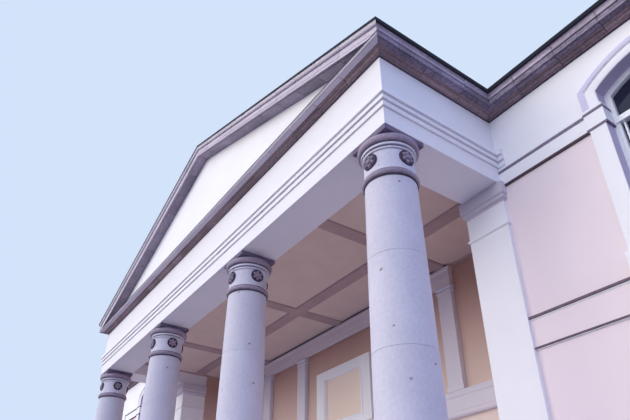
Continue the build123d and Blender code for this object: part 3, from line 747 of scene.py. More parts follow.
def neck_profile():
    """The neck from its fillet over the astragal to the slab, with two annulets."""
    out = TOP_R + 0.018
    profile = [(NECK_R, 0.090), (out, 0.108), (out, 0.122)]
    profile += curve((out, 0.122), (NECK_R, 0.150), "ovolo")[1:]
    worn = 0.006
    for reach, foot, top in ANNULETS:
        r = TOP_R + reach
        profile += [(NECK_R, foot - worn), (r, foot), (r, top - worn), (r - worn, top), (NECK_R, top + 0.002)]
    return profile + [(NECK_R, SLAB_Z)]


def rim_profile():
    """The round rim under the slab."""
    inside = TOP_R - 0.012
    swell = bead(RIM_Z, SLAB_Z - 0.016, (TOP_R + 0.052, TOP_R + 0.086))
    return ([(NECK_R - 0.01, RIM_Z - 0.004), (TOP_R + 0.046, RIM_Z)] + swell
            + [(TOP_R + 0.030, SLAB_Z - 0.012), (inside, SLAB_Z - 0.008), (inside, SLAB_Z + 0.002)])


def build_slab(shape, place):
    """The thin square abacus."""
    half = 0.390
    top = BEAM_Z - NECK_Z
    worn = 0.004
    edge = [(half - 0.01, SLAB_Z), (half - 0.003, SLAB_Z + 0.003), (half, SLAB_Z + 0.010), (half, top - worn),
            (half - worn, top)]
    rings = [[place @ Vector((a, b, z)) for a, b in corners((-h, h), (-h, h))] for h, z in edge]
    shape.skin(rings, round_ring=True)


def build_capital(shape, rims, slabs, soot, x):
    """Astragal, neck with four bosses in near-black hollows of painted shade, annulets, round rim and thin
    square abacus.
    """
    place = Matrix.Translation((x, COLUMN_Y, NECK_Z))
    lathe(rims, astragal_profile(), place)
    lathe(shape, neck_profile(), place)
    lathe(rims, rim_profile(), place)
    inside = NECK_R - 0.02
    for out, foot, top in SOOT_RINGS:
        lathe(soot, [(inside, foot), (TOP_R + out, foot), (TOP_R + out, top), (inside, top)], place)
    build_slab(slabs, place)
    # Each boss sits in a near-black disc of painted shade
    r, deep, worn = 0.134, 0.031, (0.006, 0.005)
    hollow = [(r, 0.0), (r, deep - worn[1]), (r - worn[0], deep), (0.0, deep)]
    hollow_sides = 48
    face = Matrix.Translation((inside, 0, BOSS_Z)) @ Matrix.Rotation(math.radians(90), 4, "Y")
    for i in range(BOSSES):
        boss = place @ Matrix.Rotation(math.radians(90 * i), 4, "Z") @ face
        build_boss(rims, boss)
        lathe(soot, hollow, boss, hollow_sides)


# Piers and pilasters


CAP_Z = 7.76
NECKING_Z = (7.30, 7.36)
CAP_PROFILE = (
    [(0.0, CAP_Z)] + curve((0.0, CAP_Z), (0.045, CAP_Z + 0.05), "cavetto")[1:] + [(0.045, CAP_Z + 0.125)]
    + curve((0.045, CAP_Z + 0.125), (0.07, CAP_Z + 0.16), "ovolo")[1:]
    + [(0.07, CAP_Z + 0.355), (0.066, CAP_Z + 0.36)]
)
NECKING_PROFILE = [(0.0, NECKING_Z[0])] + bead(*NECKING_Z, (0.004, 0.028)) + [(0.0, NECKING_Z[1])]
MIRRORED = [Matrix.Scale(side, 4, (1, 0, 0)) for side in (1, -1)]


def build_piers(kind, path, foot, head, cap_back, turns, node):
    """Piers of one kind with their caps, at each place where one stands."""
    cap_lap = 0.002
    back = foot[0][0]
    pier = foot + NECKING_PROFILE + [(0.0, head), (back, head)]
    cap = [(cap_back, CAP_Z - cap_lap)] + CAP_PROFILE + [(cap_back, BEAM_Z)]
    piers, caps = Shape(), Shape()
    for turn in turns:
        for shape, profile in ((piers, pier), (caps, cap)):
            moulding(shape, spine(path), profile, lambda point, z: turn @ flat(point, z))
    finish_piece(f"{kind}_piers", piers, FINISHES["white"], "white_stucco", node, bevel=0.006)
    # The caps' grey finish is painted shade
    finish_piece(f"{kind}_caps", caps, FINISHES["cap"], "white_stucco", bevel=0.004)


def build_antae():
    """The two piers that end the porch's side walls."""
    x0, x1 = COLUMN_XS[-1] - BEAM_HALF, COLUMN_XS[-1] + BEAM_HALF
    front = WALL_Y - 0.06
    back = -0.2
    path = [(x0, BEAM_BACK_Y), (x0, front), (x1, front), (x1, WALL_Y + 0.05)]
    out, top = 0.04, FLOOR_Z + 0.20
    foot = [(back, FLOOR_Z), (out, FLOOR_Z), (out, top)] + curve((out, top), (0.0, top + 0.06), "ovolo")[1:]
    build_piers("anta", path, foot, CAP_Z + 0.005, back, MIRRORED, "antae")


def build_corner_pilasters():
    """Pilasters wrapped round the four outer corners."""
    x, y = WALL_X, WALL_Y
    reach = 0.06
    path = [(x - PIER, y), (x - PIER, y - reach), (x + reach, y - reach), (x + reach, y + PIER),
            (x, y + PIER)]
    out, top = 0.025, PLINTH_Z + 0.10
    foot = [(-0.08, PLINTH_Z), (out, PLINTH_Z), (out, top)]
    foot += curve((out, top), (0.0, top + 0.04), "ovolo")[1:]
    behind = Matrix.Translation((0, WALL_Y + REAR_Y, 0)) @ Matrix.Scale(-1, 4, (0, 1, 0))
    turns = [end @ side for end in (Matrix(), behind) for side in MIRRORED]
    build_piers("corner", path, foot, IMPOST_Z[1], -0.02, turns, "corner_pilasters")


# Bands round the walls


def window_centres():
    """The middles of the windows along each run of wall."""
    step = (REAR_Y - WALL_Y - PIER) / SIDE_BAYS
    sides = [WALL_Y + PIER / 2 + step * (i + 0.5) for i in range(SIDE_BAYS)]
    gap = 2 * WING_WINDOW_X / (REAR_BAYS - 1)
    rear = [gap * (i - (REAR_BAYS - 1) / 2) for i in range(REAR_BAYS)]
    return sides, rear


def window_places():
    """Each window's place: its wall's face, seen from outside."""
    sides, rear = window_centres()
    places = [Matrix.Translation((x, WALL_Y, 0)) for x in (-WING_WINDOW_X, WING_WINDOW_X)]
    for turn, x in ((90, WALL_X), (-90, -WALL_X)):
        spin = Matrix.Rotation(math.radians(turn), 4, "Z")
        places += [Matrix.Translation((x, y, 0)) @ spin for y in sides]
    spin = Matrix.Rotation(math.radians(180), 4, "Z")
    places += [Matrix.Translation((x, REAR_Y, 0)) @ spin for x in rear]
    return places


def wall_runs(gap_half=0.0):
    """Straight runs of wall between portico and corner piers, anticlockwise, parted at the windows."""
    sides, rear = window_centres()
    end = WALL_X - PIER
    legs = [
        ((PORTICO_X, WALL_Y), (end, WALL_Y), [WING_WINDOW_X - PORTICO_X]),
        ((WALL_X, WALL_Y + PIER), (WALL_X, REAR_Y - PIER), [y - WALL_Y - PIER for y in sides]),
        ((end, REAR_Y), (-end, REAR_Y), [end - x for x in reversed(rear)]),
        ((-WALL_X, REAR_Y - PIER), (-WALL_X, WALL_Y + PIER), [REAR_Y - PIER - y for y in reversed(sides)]),
        ((-end, WALL_Y), (-PORTICO_X, WALL_Y), [end - WING_WINDOW_X]),
    ]
    for start, stop, centres in legs:
        start, stop = Vector(start), Vector(stop)
        way = (stop - start).normalized()
        marks = [0.0, (stop - start).length]
        if gap_half:
            for centre in centres:
                marks += [centre - gap_half, centre + gap_half]
        marks.sort()
        for a, b in zip(marks[::2], marks[1::2]):
            yield [start + way * a, start + way * b]


def build_string_course():
    """The sill band: a flat band between two brown-grey fillets, each over a thin white edge."""
    z0, z1 = STRING_Z
    back, face, fillet, edge = -0.02, 0.012, 0.042, 0.024
    splay = 0.006
    fillets = ((z0 + 0.010, z0 + 0.036), (z1 - 0.042, z1 - 0.002))
    band, lines, edges = Shape(), Shape(), Shape()
    for run in wall_runs():
        stops = spine(run)
        moulding(band, stops, [(back, z0 + 0.03), (face, z0 + 0.03), (face, z1 - 0.05), (back, z1 - 0.05)])
        for foot, top in fillets:
            moulding(lines, stops, [(back, foot), (fillet - 0.012, foot), (fillet, foot + 0.008),
                                    (fillet, top), (back, top)])
            under = foot - 0.020
            profile = [(back, under), (edge - splay, under), (edge, under + splay), (edge, foot),
                       (back, foot)]
            moulding(edges, stops, [(out, max(z, z0)) for out, z in profile])
    finish_piece("string_course_band", band, FINISHES["wall"], "white_stucco", "string_course")
    finish_piece("string_course_fillets", lines, FINISHES["faded"], "white_stucco")
    finish_piece("string_course_edges", edges, FINISHES["white"], "white_stucco")


def build_impost_band():
    """The flat band under the frieze, between a brown-black fillet at its foot and a lilac-grey fillet of
    painted shade near its top.
    """
    z0, z1 = IMPOST_Z
    back, face, fillet, edge = -0.02, 0.024, 0.033, 0.035
    splay = 0.005
    band, lines, dark, edges = Shape(), Shape(), Shape(), Shape()
    fillets = ((dark, z0, z0 + 0.040), (lines, z1 - 0.092, z1 - 0.040))
    for run in wall_runs(WINDOW_HALF + SURROUND_W):
        stops = spine(run)
        moulding(band, stops, [(back, z0 + 0.03), (face, z0 + 0.03), (face, z1 - 0.08), (back, z1 - 0.08)])
        for shape, foot, top in fillets:
            moulding(shape, stops, [(back, foot), (fillet - splay, foot), (fillet, foot + splay),
                                    (fillet, top), (back, top)])
        moulding(edges, stops, [(back, z1 - 0.042), (edge - 0.009, z1 - 0.042), (edge, z1 - 0.034),
                                (edge, z1 - 0.006), (edge - 0.006, z1), (back, z1)])
    finish_piece("impost_band_face", band, FINISHES["white"], "white_stucco", "impost_band")
    # The upper fillets are lilac-grey painted shade
    finish_piece("impost_band_fillets", lines, FINISHES["dusty"], "white_stucco")
    finish_piece("impost_band_foot", dark, FINISHES["stain"], "white_stucco")
    finish_piece("impost_band_edges", edges, FINISHES["white"], "white_stucco")


def build_plinth():
    """The splay-topped foot of the walls, in separate stones."""
    back, out = -0.02, 0.07
    splay, splay_h = 0.04, 0.06
    stone_length, joint = 1.1, 0.006
    gap = COLUMN_XS[-1] + 0.76
    x, y = WALL_X, WALL_Y
    path = [(gap, y), (x, y), (x, REAR_Y), (-x, REAR_Y), (-x, y), (-gap, y)]
    profile = [(back, 0.0), (out, 0.0), (out, PLINTH_Z - splay_h), (out - splay, PLINTH_Z), (back, PLINTH_Z)]
    shape = Shape()
    for stone in stones(spine(path), stone_length, joint):
        moulding(shape, stone, profile)
    finish_piece("plinth_stones", shape, FINISHES["limestone"], "limestone", "plinth", bevel=0.004)


# Entablature, cornice and pediment


def portico_path(back):
    """The outer line of the portico's beams, from one flank round the front to the other."""
    return [(-PORTICO_X, back), (-PORTICO_X, BEAM_Y), (PORTICO_X, BEAM_Y), (PORTICO_X, back)]


def whole_path():
    """The wall-head line of block and portico together, anticlockwise."""
    p, x = PORTICO_X, WALL_X
    return [(-p, BEAM_Y), (p, BEAM_Y), (p, WALL_Y), (x, WALL_Y), (x, REAR_Y), (-x, REAR_Y), (-x, WALL_Y),
            (-p, WALL_Y)]


def build_entablature():
    """Architrave, bare frieze and their beams, with the cap moulding that returns on to the wall."""
    inside = -PIER
    beams = Shape()
    profile = [(inside, BEAM_Z), (0.0, BEAM_Z), (0.0, CORNICE_Z), (inside, CORNICE_Z)]
    moulding(beams, spine(portico_path(BEAM_BACK_Y)), profile)
    finish_piece("portico_beams", beams, FINISHES["beam"], "white_stucco", "entablature", bevel=0.006)
    cap = Shape()
    foot, top = 8.45, 8.79
    back, turn = -0.03, 0.15
    steps = ((0.024, 0.0), (0.030, 0.006), (0.030, 0.088), (0.010, 0.096), (0.010, 0.112), (0.054, 0.118),
             (0.056, 0.186), (0.036, 0.198), (0.036, 0.214), (0.080, 0.222), (0.082, 0.262))
    profile = [(back, foot)] + [(out, foot + rise) for out, rise in steps]
    profile += curve(profile[-1], (0.060, top), "ovolo")[1:] + [(back, top)]
    path = [(-PORTICO_X - turn, WALL_Y)] + portico_path(WALL_Y) + [(PORTICO_X + turn, WALL_Y)]
    moulding(cap, spine(path), profile)
    finish_piece("architrave_cap", cap, FINISHES["beam"], "white_stucco")


# Reach and height of each moulding, over the cornice's foot
STONE_BACK = -0.50
BED_PROFILE = (
    [(STONE_BACK, 0.0), (0.024, 0.0), (0.030, 0.005), (0.030, 0.018), (0.018, 0.024)]
    + curve((0.018, 0.024), (0.085, 0.070), "ovolo")[1:]
    + [(0.085, 0.080), (0.122, 0.086), (0.130, 0.100), (STONE_BACK, 0.100)]
)
SOFFIT_PROFILE = [(STONE_BACK, 0.098), (0.128, 0.098), (0.205, 0.100), (0.207, 0.110), (0.226, 0.110),
                  (0.228, 0.086)]
FASCIA_PROFILE = SOFFIT_PROFILE + [
    (0.246, 0.084), (0.250, 0.088), (0.250, 0.112), (0.242, 0.118), (0.242, 0.196), (0.210, 0.204),
    (0.210, 0.220), (STONE_BACK, 0.220)]
SEAT_PROFILE = SOFFIT_PROFILE + [(0.228, 0.150), (STONE_BACK, 0.150)]
CYMA_PROFILE = (
    [(STONE_BACK, 0.216), (0.246, 0.216), (0.252, 0.222), (0.252, 0.262), (0.244, 0.270)]
    + curve((0.244, 0.270), (0.290, 0.330), "cavetto")[1:] + [(STONE_BACK, 0.330)]
)
CORONA_PROFILE = [
    (-0.10, 0.098), (0.234, 0.098), (0.250, 0.100), (0.250, 0.119), (0.214, 0.122), (0.214, 0.134),
    (0.250, 0.138), (0.250, 0.157), (0.240, 0.160), (-0.10, 0.160)]


def build_cornice(sizes):
    """The cornice in separate stones, low under the gable, with near-black lines of painted shade and a
    lead-lined gutter.
    """
    stops = spine(whole_path(), closed=True)
    front = stops[:2]
    guttered = stops[1:] + stops[:1]
    # The sheltered and bed finishes carry painted shade, the washed one painted sunlight
    pieces = (
        ("cornice_stones", ["main_cornice"], "weathered", 0.004, [(guttered, FASCIA_PROFILE)]),
        ("cornice_upper_stones", [], "sheltered", 0.003, [(guttered, CYMA_PROFILE)]),
        ("cornice_bed_stones", [], "bed", 0.003, [(guttered, BED_PROFILE), (front, BED_PROFILE)]),
        ("gable_seat_soffit", [], "sheltered", 0.003, [(front, SEAT_PROFILE)]),
        ("gable_seat_stones", [], "washed", 0.003, [(front, CORONA_PROFILE)]),
    )
    for name, replaced, finish, wear, courses in pieces:
        shape = Shape()
        for run, profile in courses:
            section = [(out, CORNICE_Z + z) for out, z in profile]
            for stone in stones(run, sizes.cornice_block, sizes.block_joint):
                moulding(shape, stone, section)
        finish_piece(name, shape, FINISHES[finish], "cornice_stone", *replaced, bevel=wear)
    build_cornice_soot(stops, front, guttered)
    build_gutters(front, guttered)


def build_cornice_soot(stops, front, guttered):
    """Near-black lines of painted shade under the bed moulding and in the grooves of the fascia."""
    soot = Shape()
    foot, top = CORNICE_Z - 0.026, CORNICE_Z + 0.002
    moulding(soot, stops, [(-0.02, foot), (0.010, foot), (0.012, top), (-0.02, top)], closed=True)
    for run, out, low_edge, high_edge in ((front, 0.230, 0.1195, 0.1370), (guttered, 0.228, 0.200, 0.219)):
        foot, top = CORNICE_Z + low_edge, CORNICE_Z + high_edge
        moulding(soot, run, [(0.0, foot), (out, foot), (out, top), (0.0, top)])
    finish_piece("cornice_soot_lines", soot, FINISHES["grime"], "cornice_stone")


def build_gutters(front, guttered):
    """The lead gutter of the high cornice, the flashing of the low one and the wedges at the rakes' feet."""
    cover = Shape()
    back, lap = -0.45, 0.006
    out = EAVES_X - WALL_X
    foot = CORNICE_Z + 0.324
    moulding(cover, guttered, [(back, foot), (out - 0.020, foot), (out - 0.003, foot + 0.016),
                               (out, foot + 0.030), (out, ROOF_Z - lap), (out - lap, ROOF_Z), (back, ROOF_Z)])
    edge = 0.258
    under = SEAT_Z - 0.014
    moulding(cover, front, [(back, under), (edge, under), (edge, SEAT_Z - 0.003), (back, SEAT_Z)])
    rise = (GABLE_X - PORTICO_X) * math.tan(PITCH)
    for side in (-1, 1):
        corner = side * PORTICO_X
        end = side * (GABLE_X - 0.004)
        wedge = [(corner, ROOF_Z - 0.02), (end, ROOF_Z - 0.02), (end, ROOF_Z - 0.002),
                 (corner, ROOF_Z + rise - lap)]
        rings = [[Vector((x, y, z)) for x, z in wedge] for y in (BEAM_Y - 0.25, high("raking_cornice").y)]
        cover.skin(rings, round_ring=True)
    finish_piece("cornice_gutters", cover, FINISHES["lead"], "slate")


def gable_stops():
    """The two rakes: their feet, the points where their soffits meet the level cornice, and the apex."""
    down = Vector((0, -1 / math.cos(PITCH)))
    seat_x = GABLE_X - (RAKE_H / math.cos(PITCH) - ROOF_Z + SEAT_Z) / math.tan(PITCH)
    places = (-GABLE_X, -seat_x, 0, seat_x, GABLE_X)
    return [(Vector((x, ROOF_Z + (GABLE_X - abs(x)) * math.tan(PITCH))), down) for x in places]


def to_gable(point, out):
    """Where a point of the gable's elevation lies out from the beams' face, inside the corner mitres."""
    reach = PORTICO_X + max(out, 0.0)
    x = max(-reach, min(reach, point.x))
    z = point.y + (abs(point.x) - abs(x)) * math.tan(PITCH)
    return Vector((x, BEAM_Y - out, max(z, SEAT_Z - 0.002)))


def build_pediment(sizes):
    """The raking cornice in separate stones with its gutter, over the bare gable."""
    back = BEAM_Y - high("raking_cornice").y
    inside = 0.19
    out = EAVES_X - WALL_X
    crown = [(0.03, inside), (0.03, 0.296), (0.068, 0.296), (0.072, 0.288)]
    crown += curve((0.072, 0.288), (0.122, 0.250), "ovolo")[1:] + [(0.124, inside)]
    fascia = [(0.120, inside), (0.120, 0.220), (0.140, 0.220), (0.146, 0.242), (0.246, 0.242),
              (0.252, 0.220), (0.264, 0.220), (0.270, 0.250), (0.316, 0.250), (RAKE_H, 0.246),
              (RAKE_H, 0.228), (0.300, 0.224), (0.300, inside)]
    soffit = [(0.032, back), (0.032, 0.195), (0.312, 0.195), (0.312, back)]
    lead = [(0.0, back), (0.0, out - 0.006), (0.006, out), (0.056, out), (0.062, out - 0.005), (0.062, 0.236),
            (0.020, 0.20), (0.020, back)]
    groove = [(0.121, 0.0), (0.121, 0.230), (0.139, 0.230), (0.139, 0.0)]
    # The washed crown and rake fascia carry painted sunlight, the sheltered soffit painted shade
    pieces = (
        ("raking_crown_stones", ["raking_cornice"], "washed", 0.003, crown),
        ("raking_fascia_stones", [], "rake", 0.003, fascia),
        ("raking_soffit_stones", [], "sheltered", 0.004, soffit),
    )
    for name, replaced, finish, wear, profile in pieces:
        shape = Shape()
        for stone in stones(gable_stops(), sizes.cornice_block, sizes.block_joint):
            moulding(shape, stone, profile, to_gable)
        finish_piece(name, shape, FINISHES[finish], "cornice_stone", *replaced, bevel=wear)
    # A near-black line of painted shade in the fascia's groove
    soot, gutter = Shape(), Shape()
    moulding(soot, gable_stops(), groove, to_gable)
    finish_piece("raking_soot_line", soot, FINISHES["grime"], "cornice_stone")
    moulding(gutter, gable_stops(), lead, to_gable)
    finish_piece("raking_gutter", gutter, FINISHES["lead"], "slate")
    dress("tympanum", FINISHES["white"])


# Roof


def slate_slope(shape, place, length, limits, sizes, luck):
    """Courses of separate slates up a slope, each cut to its limits: across, up the slope, and out of it."""
    tail, head, thick = 0.020, 0.004, 0.009
    lap, gap = 0.09, 0.004
    most_drop, most_lift = 0.004, 0.003
    least_tail, least_head = 0.02, 0.01
    point = 0.004
    gauge, width = sizes.slate_gauge, sizes.slate_width
    for row in range(math.ceil(length / gauge)):
        s0 = row * gauge
        s1 = min(length, s0 + gauge + lap)
        left, right = limits(s0)
        left_top, right_top = limits(s1)
        start = left - width * (0.5 if row % 2 else 0.0)
        for i in range(math.ceil((right - start) / width)):
            a0 = start + i * width + gap * (0.5 + luck.random())
            a1 = start + (i + 1) * width - gap * (0.5 + luck.random())
            low_left, low_right = max(a0, left), min(a1, right)
            top_left, top_right = max(a0, left_top), min(a1, right_top)
            if low_right - low_left < least_tail:
                continue
            if top_right - top_left < least_head:
                top = min(max((low_left + low_right) / 2, left_top), right_top)
                top_left, top_right = top - point, top + point
            drop = most_drop * luck.random()
            lift = most_lift * luck.random()
            rings = []
            for down in (thick, 0.0):
                foot_z, head_z = tail + lift - down, head + lift - down
                rings.append([place @ Vector(spot) for spot in (
                    (low_left, s0 - drop, foot_z), (low_right, s0 - drop, foot_z),
                    (top_right, s1, head_z), (top_left, s1, head_z))])
            shape.skin(rings, round_ring=True)


def slope_place(origin, across, upward, drop):
    """A slope's own axes: across it, up it and out of it, lowered under the roof's outer plane."""
    across, upward = Vector(across).normalized(), Vector(upward).normalized()
    outward = across.cross(upward)
    axes = Matrix((across, upward, outward)).transposed().to_4x4()
    return Matrix.Translation(Vector(origin) - outward * drop) @ axes


def deck(shape, place, length, limits):
    """The boarded deck under the slates, with splayed eaves."""
    deep, below = 0.12, 0.006
    rings = []
    for down in (deep, below):
        left, right = limits(down)
        left_top, right_top = limits(length)
        rings.append([place @ Vector(spot) for spot in (
            (left, down, -down), (right, down, -down),
            (right_top, length, -down), (left_top, length, -down))])
    shape.skin(rings, round_ring=True)


def build_roofs(sizes):
    """Four slated slopes over the block and two over the portico."""
    luck = random.Random(SEED)
    cos_pitch, sin_pitch = math.cos(PITCH), math.sin(PITCH)
    drop = 0.034
    eaves = 0.10
    slopes = {
        "roof_front": ((0, EAVES_Y, ROOF_Z), (1, 0, 0), (0, cos_pitch, sin_pitch), EAVES_X),
        "roof_back": ((0, EAVES_REAR_Y, ROOF_Z), (-1, 0, 0), (0, -cos_pitch, sin_pitch), EAVES_X),
        "roof_right": ((EAVES_X, RIDGE_Y, ROOF_Z), (0, 1, 0), (-cos_pitch, 0, sin_pitch), ROOF_HALF),
        "roof_left": ((-EAVES_X, RIDGE_Y, ROOF_Z), (0, -1, 0), (cos_pitch, 0, sin_pitch), ROOF_HALF),
    }
    length = ROOF_HALF / cos_pitch
    for node, (origin, across, upward, half) in slopes.items():
        shape = Shape()
        place = slope_place(origin, across, upward, drop) @ Matrix.Translation((0, eaves, 0))

        def limits(s, half=half):
            reach = half - (s + eaves) * cos_pitch
            return -reach, reach

        deck(shape, place, length - eaves, limits)
        slate_slope(shape, place, length - eaves, limits, sizes, luck)
        finish_piece(f"{node}_slates", shape, FINISHES["slate"], "slate", node)
    build_portico_roof(sizes, luck, drop, eaves)


def build_portico_roof(sizes, luck, drop, eaves):
    """The two slopes behind the pediment, run back to the valleys against the main roof."""
    cos_pitch, sin_pitch = math.cos(PITCH), math.sin(PITCH)
    front = high("raking_cornice").y
    length = GABLE_X / cos_pitch
    for side, node in ((1, "portico_roof_right"), (-1, "portico_roof_left")):
        shape = Shape()
        upward = (-side * cos_pitch, 0, sin_pitch)
        place = slope_place((side * GABLE_X, 0, ROOF_Z), (0, side, 0), upward, drop)
        place = place @ Matrix.Translation((0, eaves, 0))

        def limits(s, side=side):
            back = EAVES_Y + (s + eaves) * cos_pitch
            return (front, back) if side > 0 else (-back, -front)

        deck(shape, place, length - eaves, limits)
        slate_slope(shape, place, length - eaves, limits, sizes, luck)
        finish_piece(f"{node}_slates", shape, FINISHES["slate"], "slate", node)


def build_ridges():
    """Lead rolls along the ridges and hips."""
    reach, roll, under = 0.11, 0.032, 0.060
    raise_by, sheet = 0.012, 0.006
    roll_rise = 0.35
    hip_fall = 0.72
    inset = 0.14
    peak = RIDGE_Z - under
    ridge_x = EAVES_X - ROOF_HALF
    rise = inset * math.tan(PITCH)
    lines = [((-ridge_x, RIDGE_Y, peak), (ridge_x, RIDGE_Y, peak))]
    for sx in (-1, 1):
        for y, sy in ((EAVES_Y, 1), (EAVES_REAR_Y, -1)):
            lines.append(((sx * (EAVES_X - inset), y + sy * inset, ROOF_Z + rise - under),
                          (sx * ridge_x, RIDGE_Y, peak)))
    gable_peak = ROOF_Z + GABLE_X * math.tan(PITCH) - under
    lines.append(((0, high("raking_cornice").y - 0.05, gable_peak), (0, EAVES_Y + GABLE_X, gable_peak)))
    shape = Shape()
    for start, end in lines:
        start, end = Vector(start), Vector(end)
        way = end - start
        level = abs(way.z) < 0.01
        place = Matrix.Translation(start) @ way.to_track_quat("Y", "Z").to_matrix().to_4x4()
        fall = math.tan(PITCH) * (1.0 if level else hip_fall)
        section = [(-reach, -reach * fall), (-roll, -roll * fall)]
        for i in range(CURVE_STEPS * 2 + 1):
            turn = math.pi * i / (CURVE_STEPS * 2)
            section.append((-roll * math.cos(turn), roll * roll_rise + roll * math.sin(turn)))
        section += [(roll, -roll * fall), (reach, -reach * fall), (reach, -reach * fall - sheet), (0, -0.01),
                    (-reach, -reach * fall - sheet)]
        rings = [[place @ Vector((a, s, b + raise_by)) for a, b in section] for s in (0, way.length)]
        shape.skin(rings, round_ring=True)
    finish_piece("ridge_and_hip_leads", shape, FINISHES["lead"], "slate")


# Windows


def arch_points(half, spring, rise, steps=20):
    """Points of a segmental arch from right to left."""
    radius = (half * half + rise * rise) / (2 * rise)
    sweep = math.asin(half / radius)
    centre = spring + rise - radius
    turns = [sweep * (1 - 2 * i / steps) for i in range(steps + 1)]
    return [(radius * math.sin(t), centre + radius * math.cos(t)) for t in turns]


def upper_path(inset=0.0):
    """The line of an upper opening, from the right foot over the head to the left."""
    half = WINDOW_HALF - inset
    return ([(half, STRING_Z[1] + inset)] + arch_points(half, UPPER_SPRING, UPPER_RISE - inset)
            + [(-half, STRING_Z[1] + inset)])


def lower_path(inset=0.0):
    """The line of a lower opening, from the right foot over the head to the left."""
    half = WINDOW_HALF - inset
    return [(half, LOWER_SILL + inset), (half, LOWER_HEAD - inset), (-half, LOWER_HEAD - inset),
            (-half, LOWER_SILL + inset)]


def build_surrounds(places):
    """Architraves of both rows, with imposts and foot blocks above and sills below."""
    back, into = -0.02, FRAME_DEPTHS[0]
    w = SURROUND_W
    jamb = [(0.0, back), (0.0, 0.050), (0.010, 0.056), (w - 0.115, 0.056), (w - 0.110, 0.040),
            (w - 0.096, 0.040), (w - 0.090, 0.064), (w - 0.082, 0.070), (w, 0.070), (w, back)]
    rim = [(w - 0.084, back), (w - 0.084, 0.068), (w - 0.078, 0.074), (w - 0.006, 0.074), (w + 0.004, 0.064),
           (w + 0.004, back)]
    w = LOWER_SURROUND_W
    wide = [(0.0, back), (0.0, 0.046), (0.010, 0.052), (w - 0.125, 0.052), (w - 0.120, 0.036),
            (w - 0.104, 0.036), (w - 0.098, 0.064), (w - 0.088, 0.072), (w - 0.006, 0.072), (w, 0.066),
            (w, back)]
    z0, z1 = IMPOST_Z
    foot = STRING_Z[1]
    foot_h, foot_out = 0.33, 0.045
    arch = [(WINDOW_HALF, z1 - 0.02)] + upper_path()[1:-1] + [(-WINDOW_HALF, z1 - 0.02)]
    inner, outer = WINDOW_HALF - 0.004, WINDOW_HALF + SURROUND_W
    impost = (inner - 0.03, outer + 0.024)
    fillet = (inner - 0.034, outer + 0.028)
    upper, lower, sills, lines, rims = Shape(), Shape(), Shape(), Shape(), Shape()
    blocks = (
        (upper, (inner, outer), (-0.056, -back), (foot, z0 + 0.02)),
        (upper, (inner, outer + foot_out), (-0.082, -back), (foot, foot + foot_h)),
        (upper, impost, (-0.066, into), (z0 + 0.034, z1 - 0.088)),
        (upper, impost, (-0.076, into), (z1 - 0.044, z1)),
        (lines, fillet, (-0.070, into), (z0 + 0.002, z0 + 0.036)),
        (lines, fillet, (-0.070, into), (z1 - 0.090, z1 - 0.042)),
    )
    sill_x = WINDOW_HALF + LOWER_SURROUND_W + 0.06
    sill_foot, drip_foot, drip_in = LOWER_SILL - 0.12, LOWER_SILL - 0.16, 0.05
    for place in places:
        lift = on_wall(place)
        moulding(upper, spine(arch), jamb, lift)
        moulding(rims, spine(arch), rim, lift)
        moulding(lower, spine(lower_path()), wide, lift)
        for side in (-1, 1):
            for shape, reach, y, z in blocks:
                shape.block(sorted(side * x for x in reach), y, z, place)
        sills.block((-sill_x, sill_x), (-0.14, -back), (sill_foot, LOWER_SILL), place)
        sills.block((drip_in - sill_x, sill_x - drip_in), (-0.10, -back), (drip_foot, sill_foot), place)
    finish_piece("upper_architraves", upper, FINISHES["white"], "white_stucco", "upper_window_surrounds",
                 bevel=0.004)
    # The impost fillets beside the windows are lilac-grey painted shade
    finish_piece("upper_impost_fillets", lines, FINISHES["dusty"], "white_stucco")
    # The rims' lilac grey is painted shade round the arches
    finish_piece("upper_arch_rims", rims, FINISHES["rim"], "white_stucco")
    finish_piece("lower_architraves", lower, FINISHES["white"], "white_stucco", "lower_window_surrounds",
                 bevel=0.004)
    finish_piece("lower_sills", sills, FINISHES["white"], "white_stucco", bevel=0.006)


def build_reveals(places):
    """Painted stucco on the sides, head and foot of each opening, from the wall's face to the frame."""
    thick, lap = 0.006, 0.004
    deep = FRAME_DEPTHS[0]
    shape = Shape()
    profile = [(lap, -deep), (lap, 0.04), (-thick, 0.046), (-thick, -deep - 0.002)]
    for place in places:
        for path in (upper_path(), lower_path()):
            moulding(shape, spine(path, closed=True), profile, on_wall(place), closed=True)
    # The reveals' blue-grey is painted shade inside the openings
    finish_piece("window_reveals", shape, FINISHES["reveal"], "white_stucco")


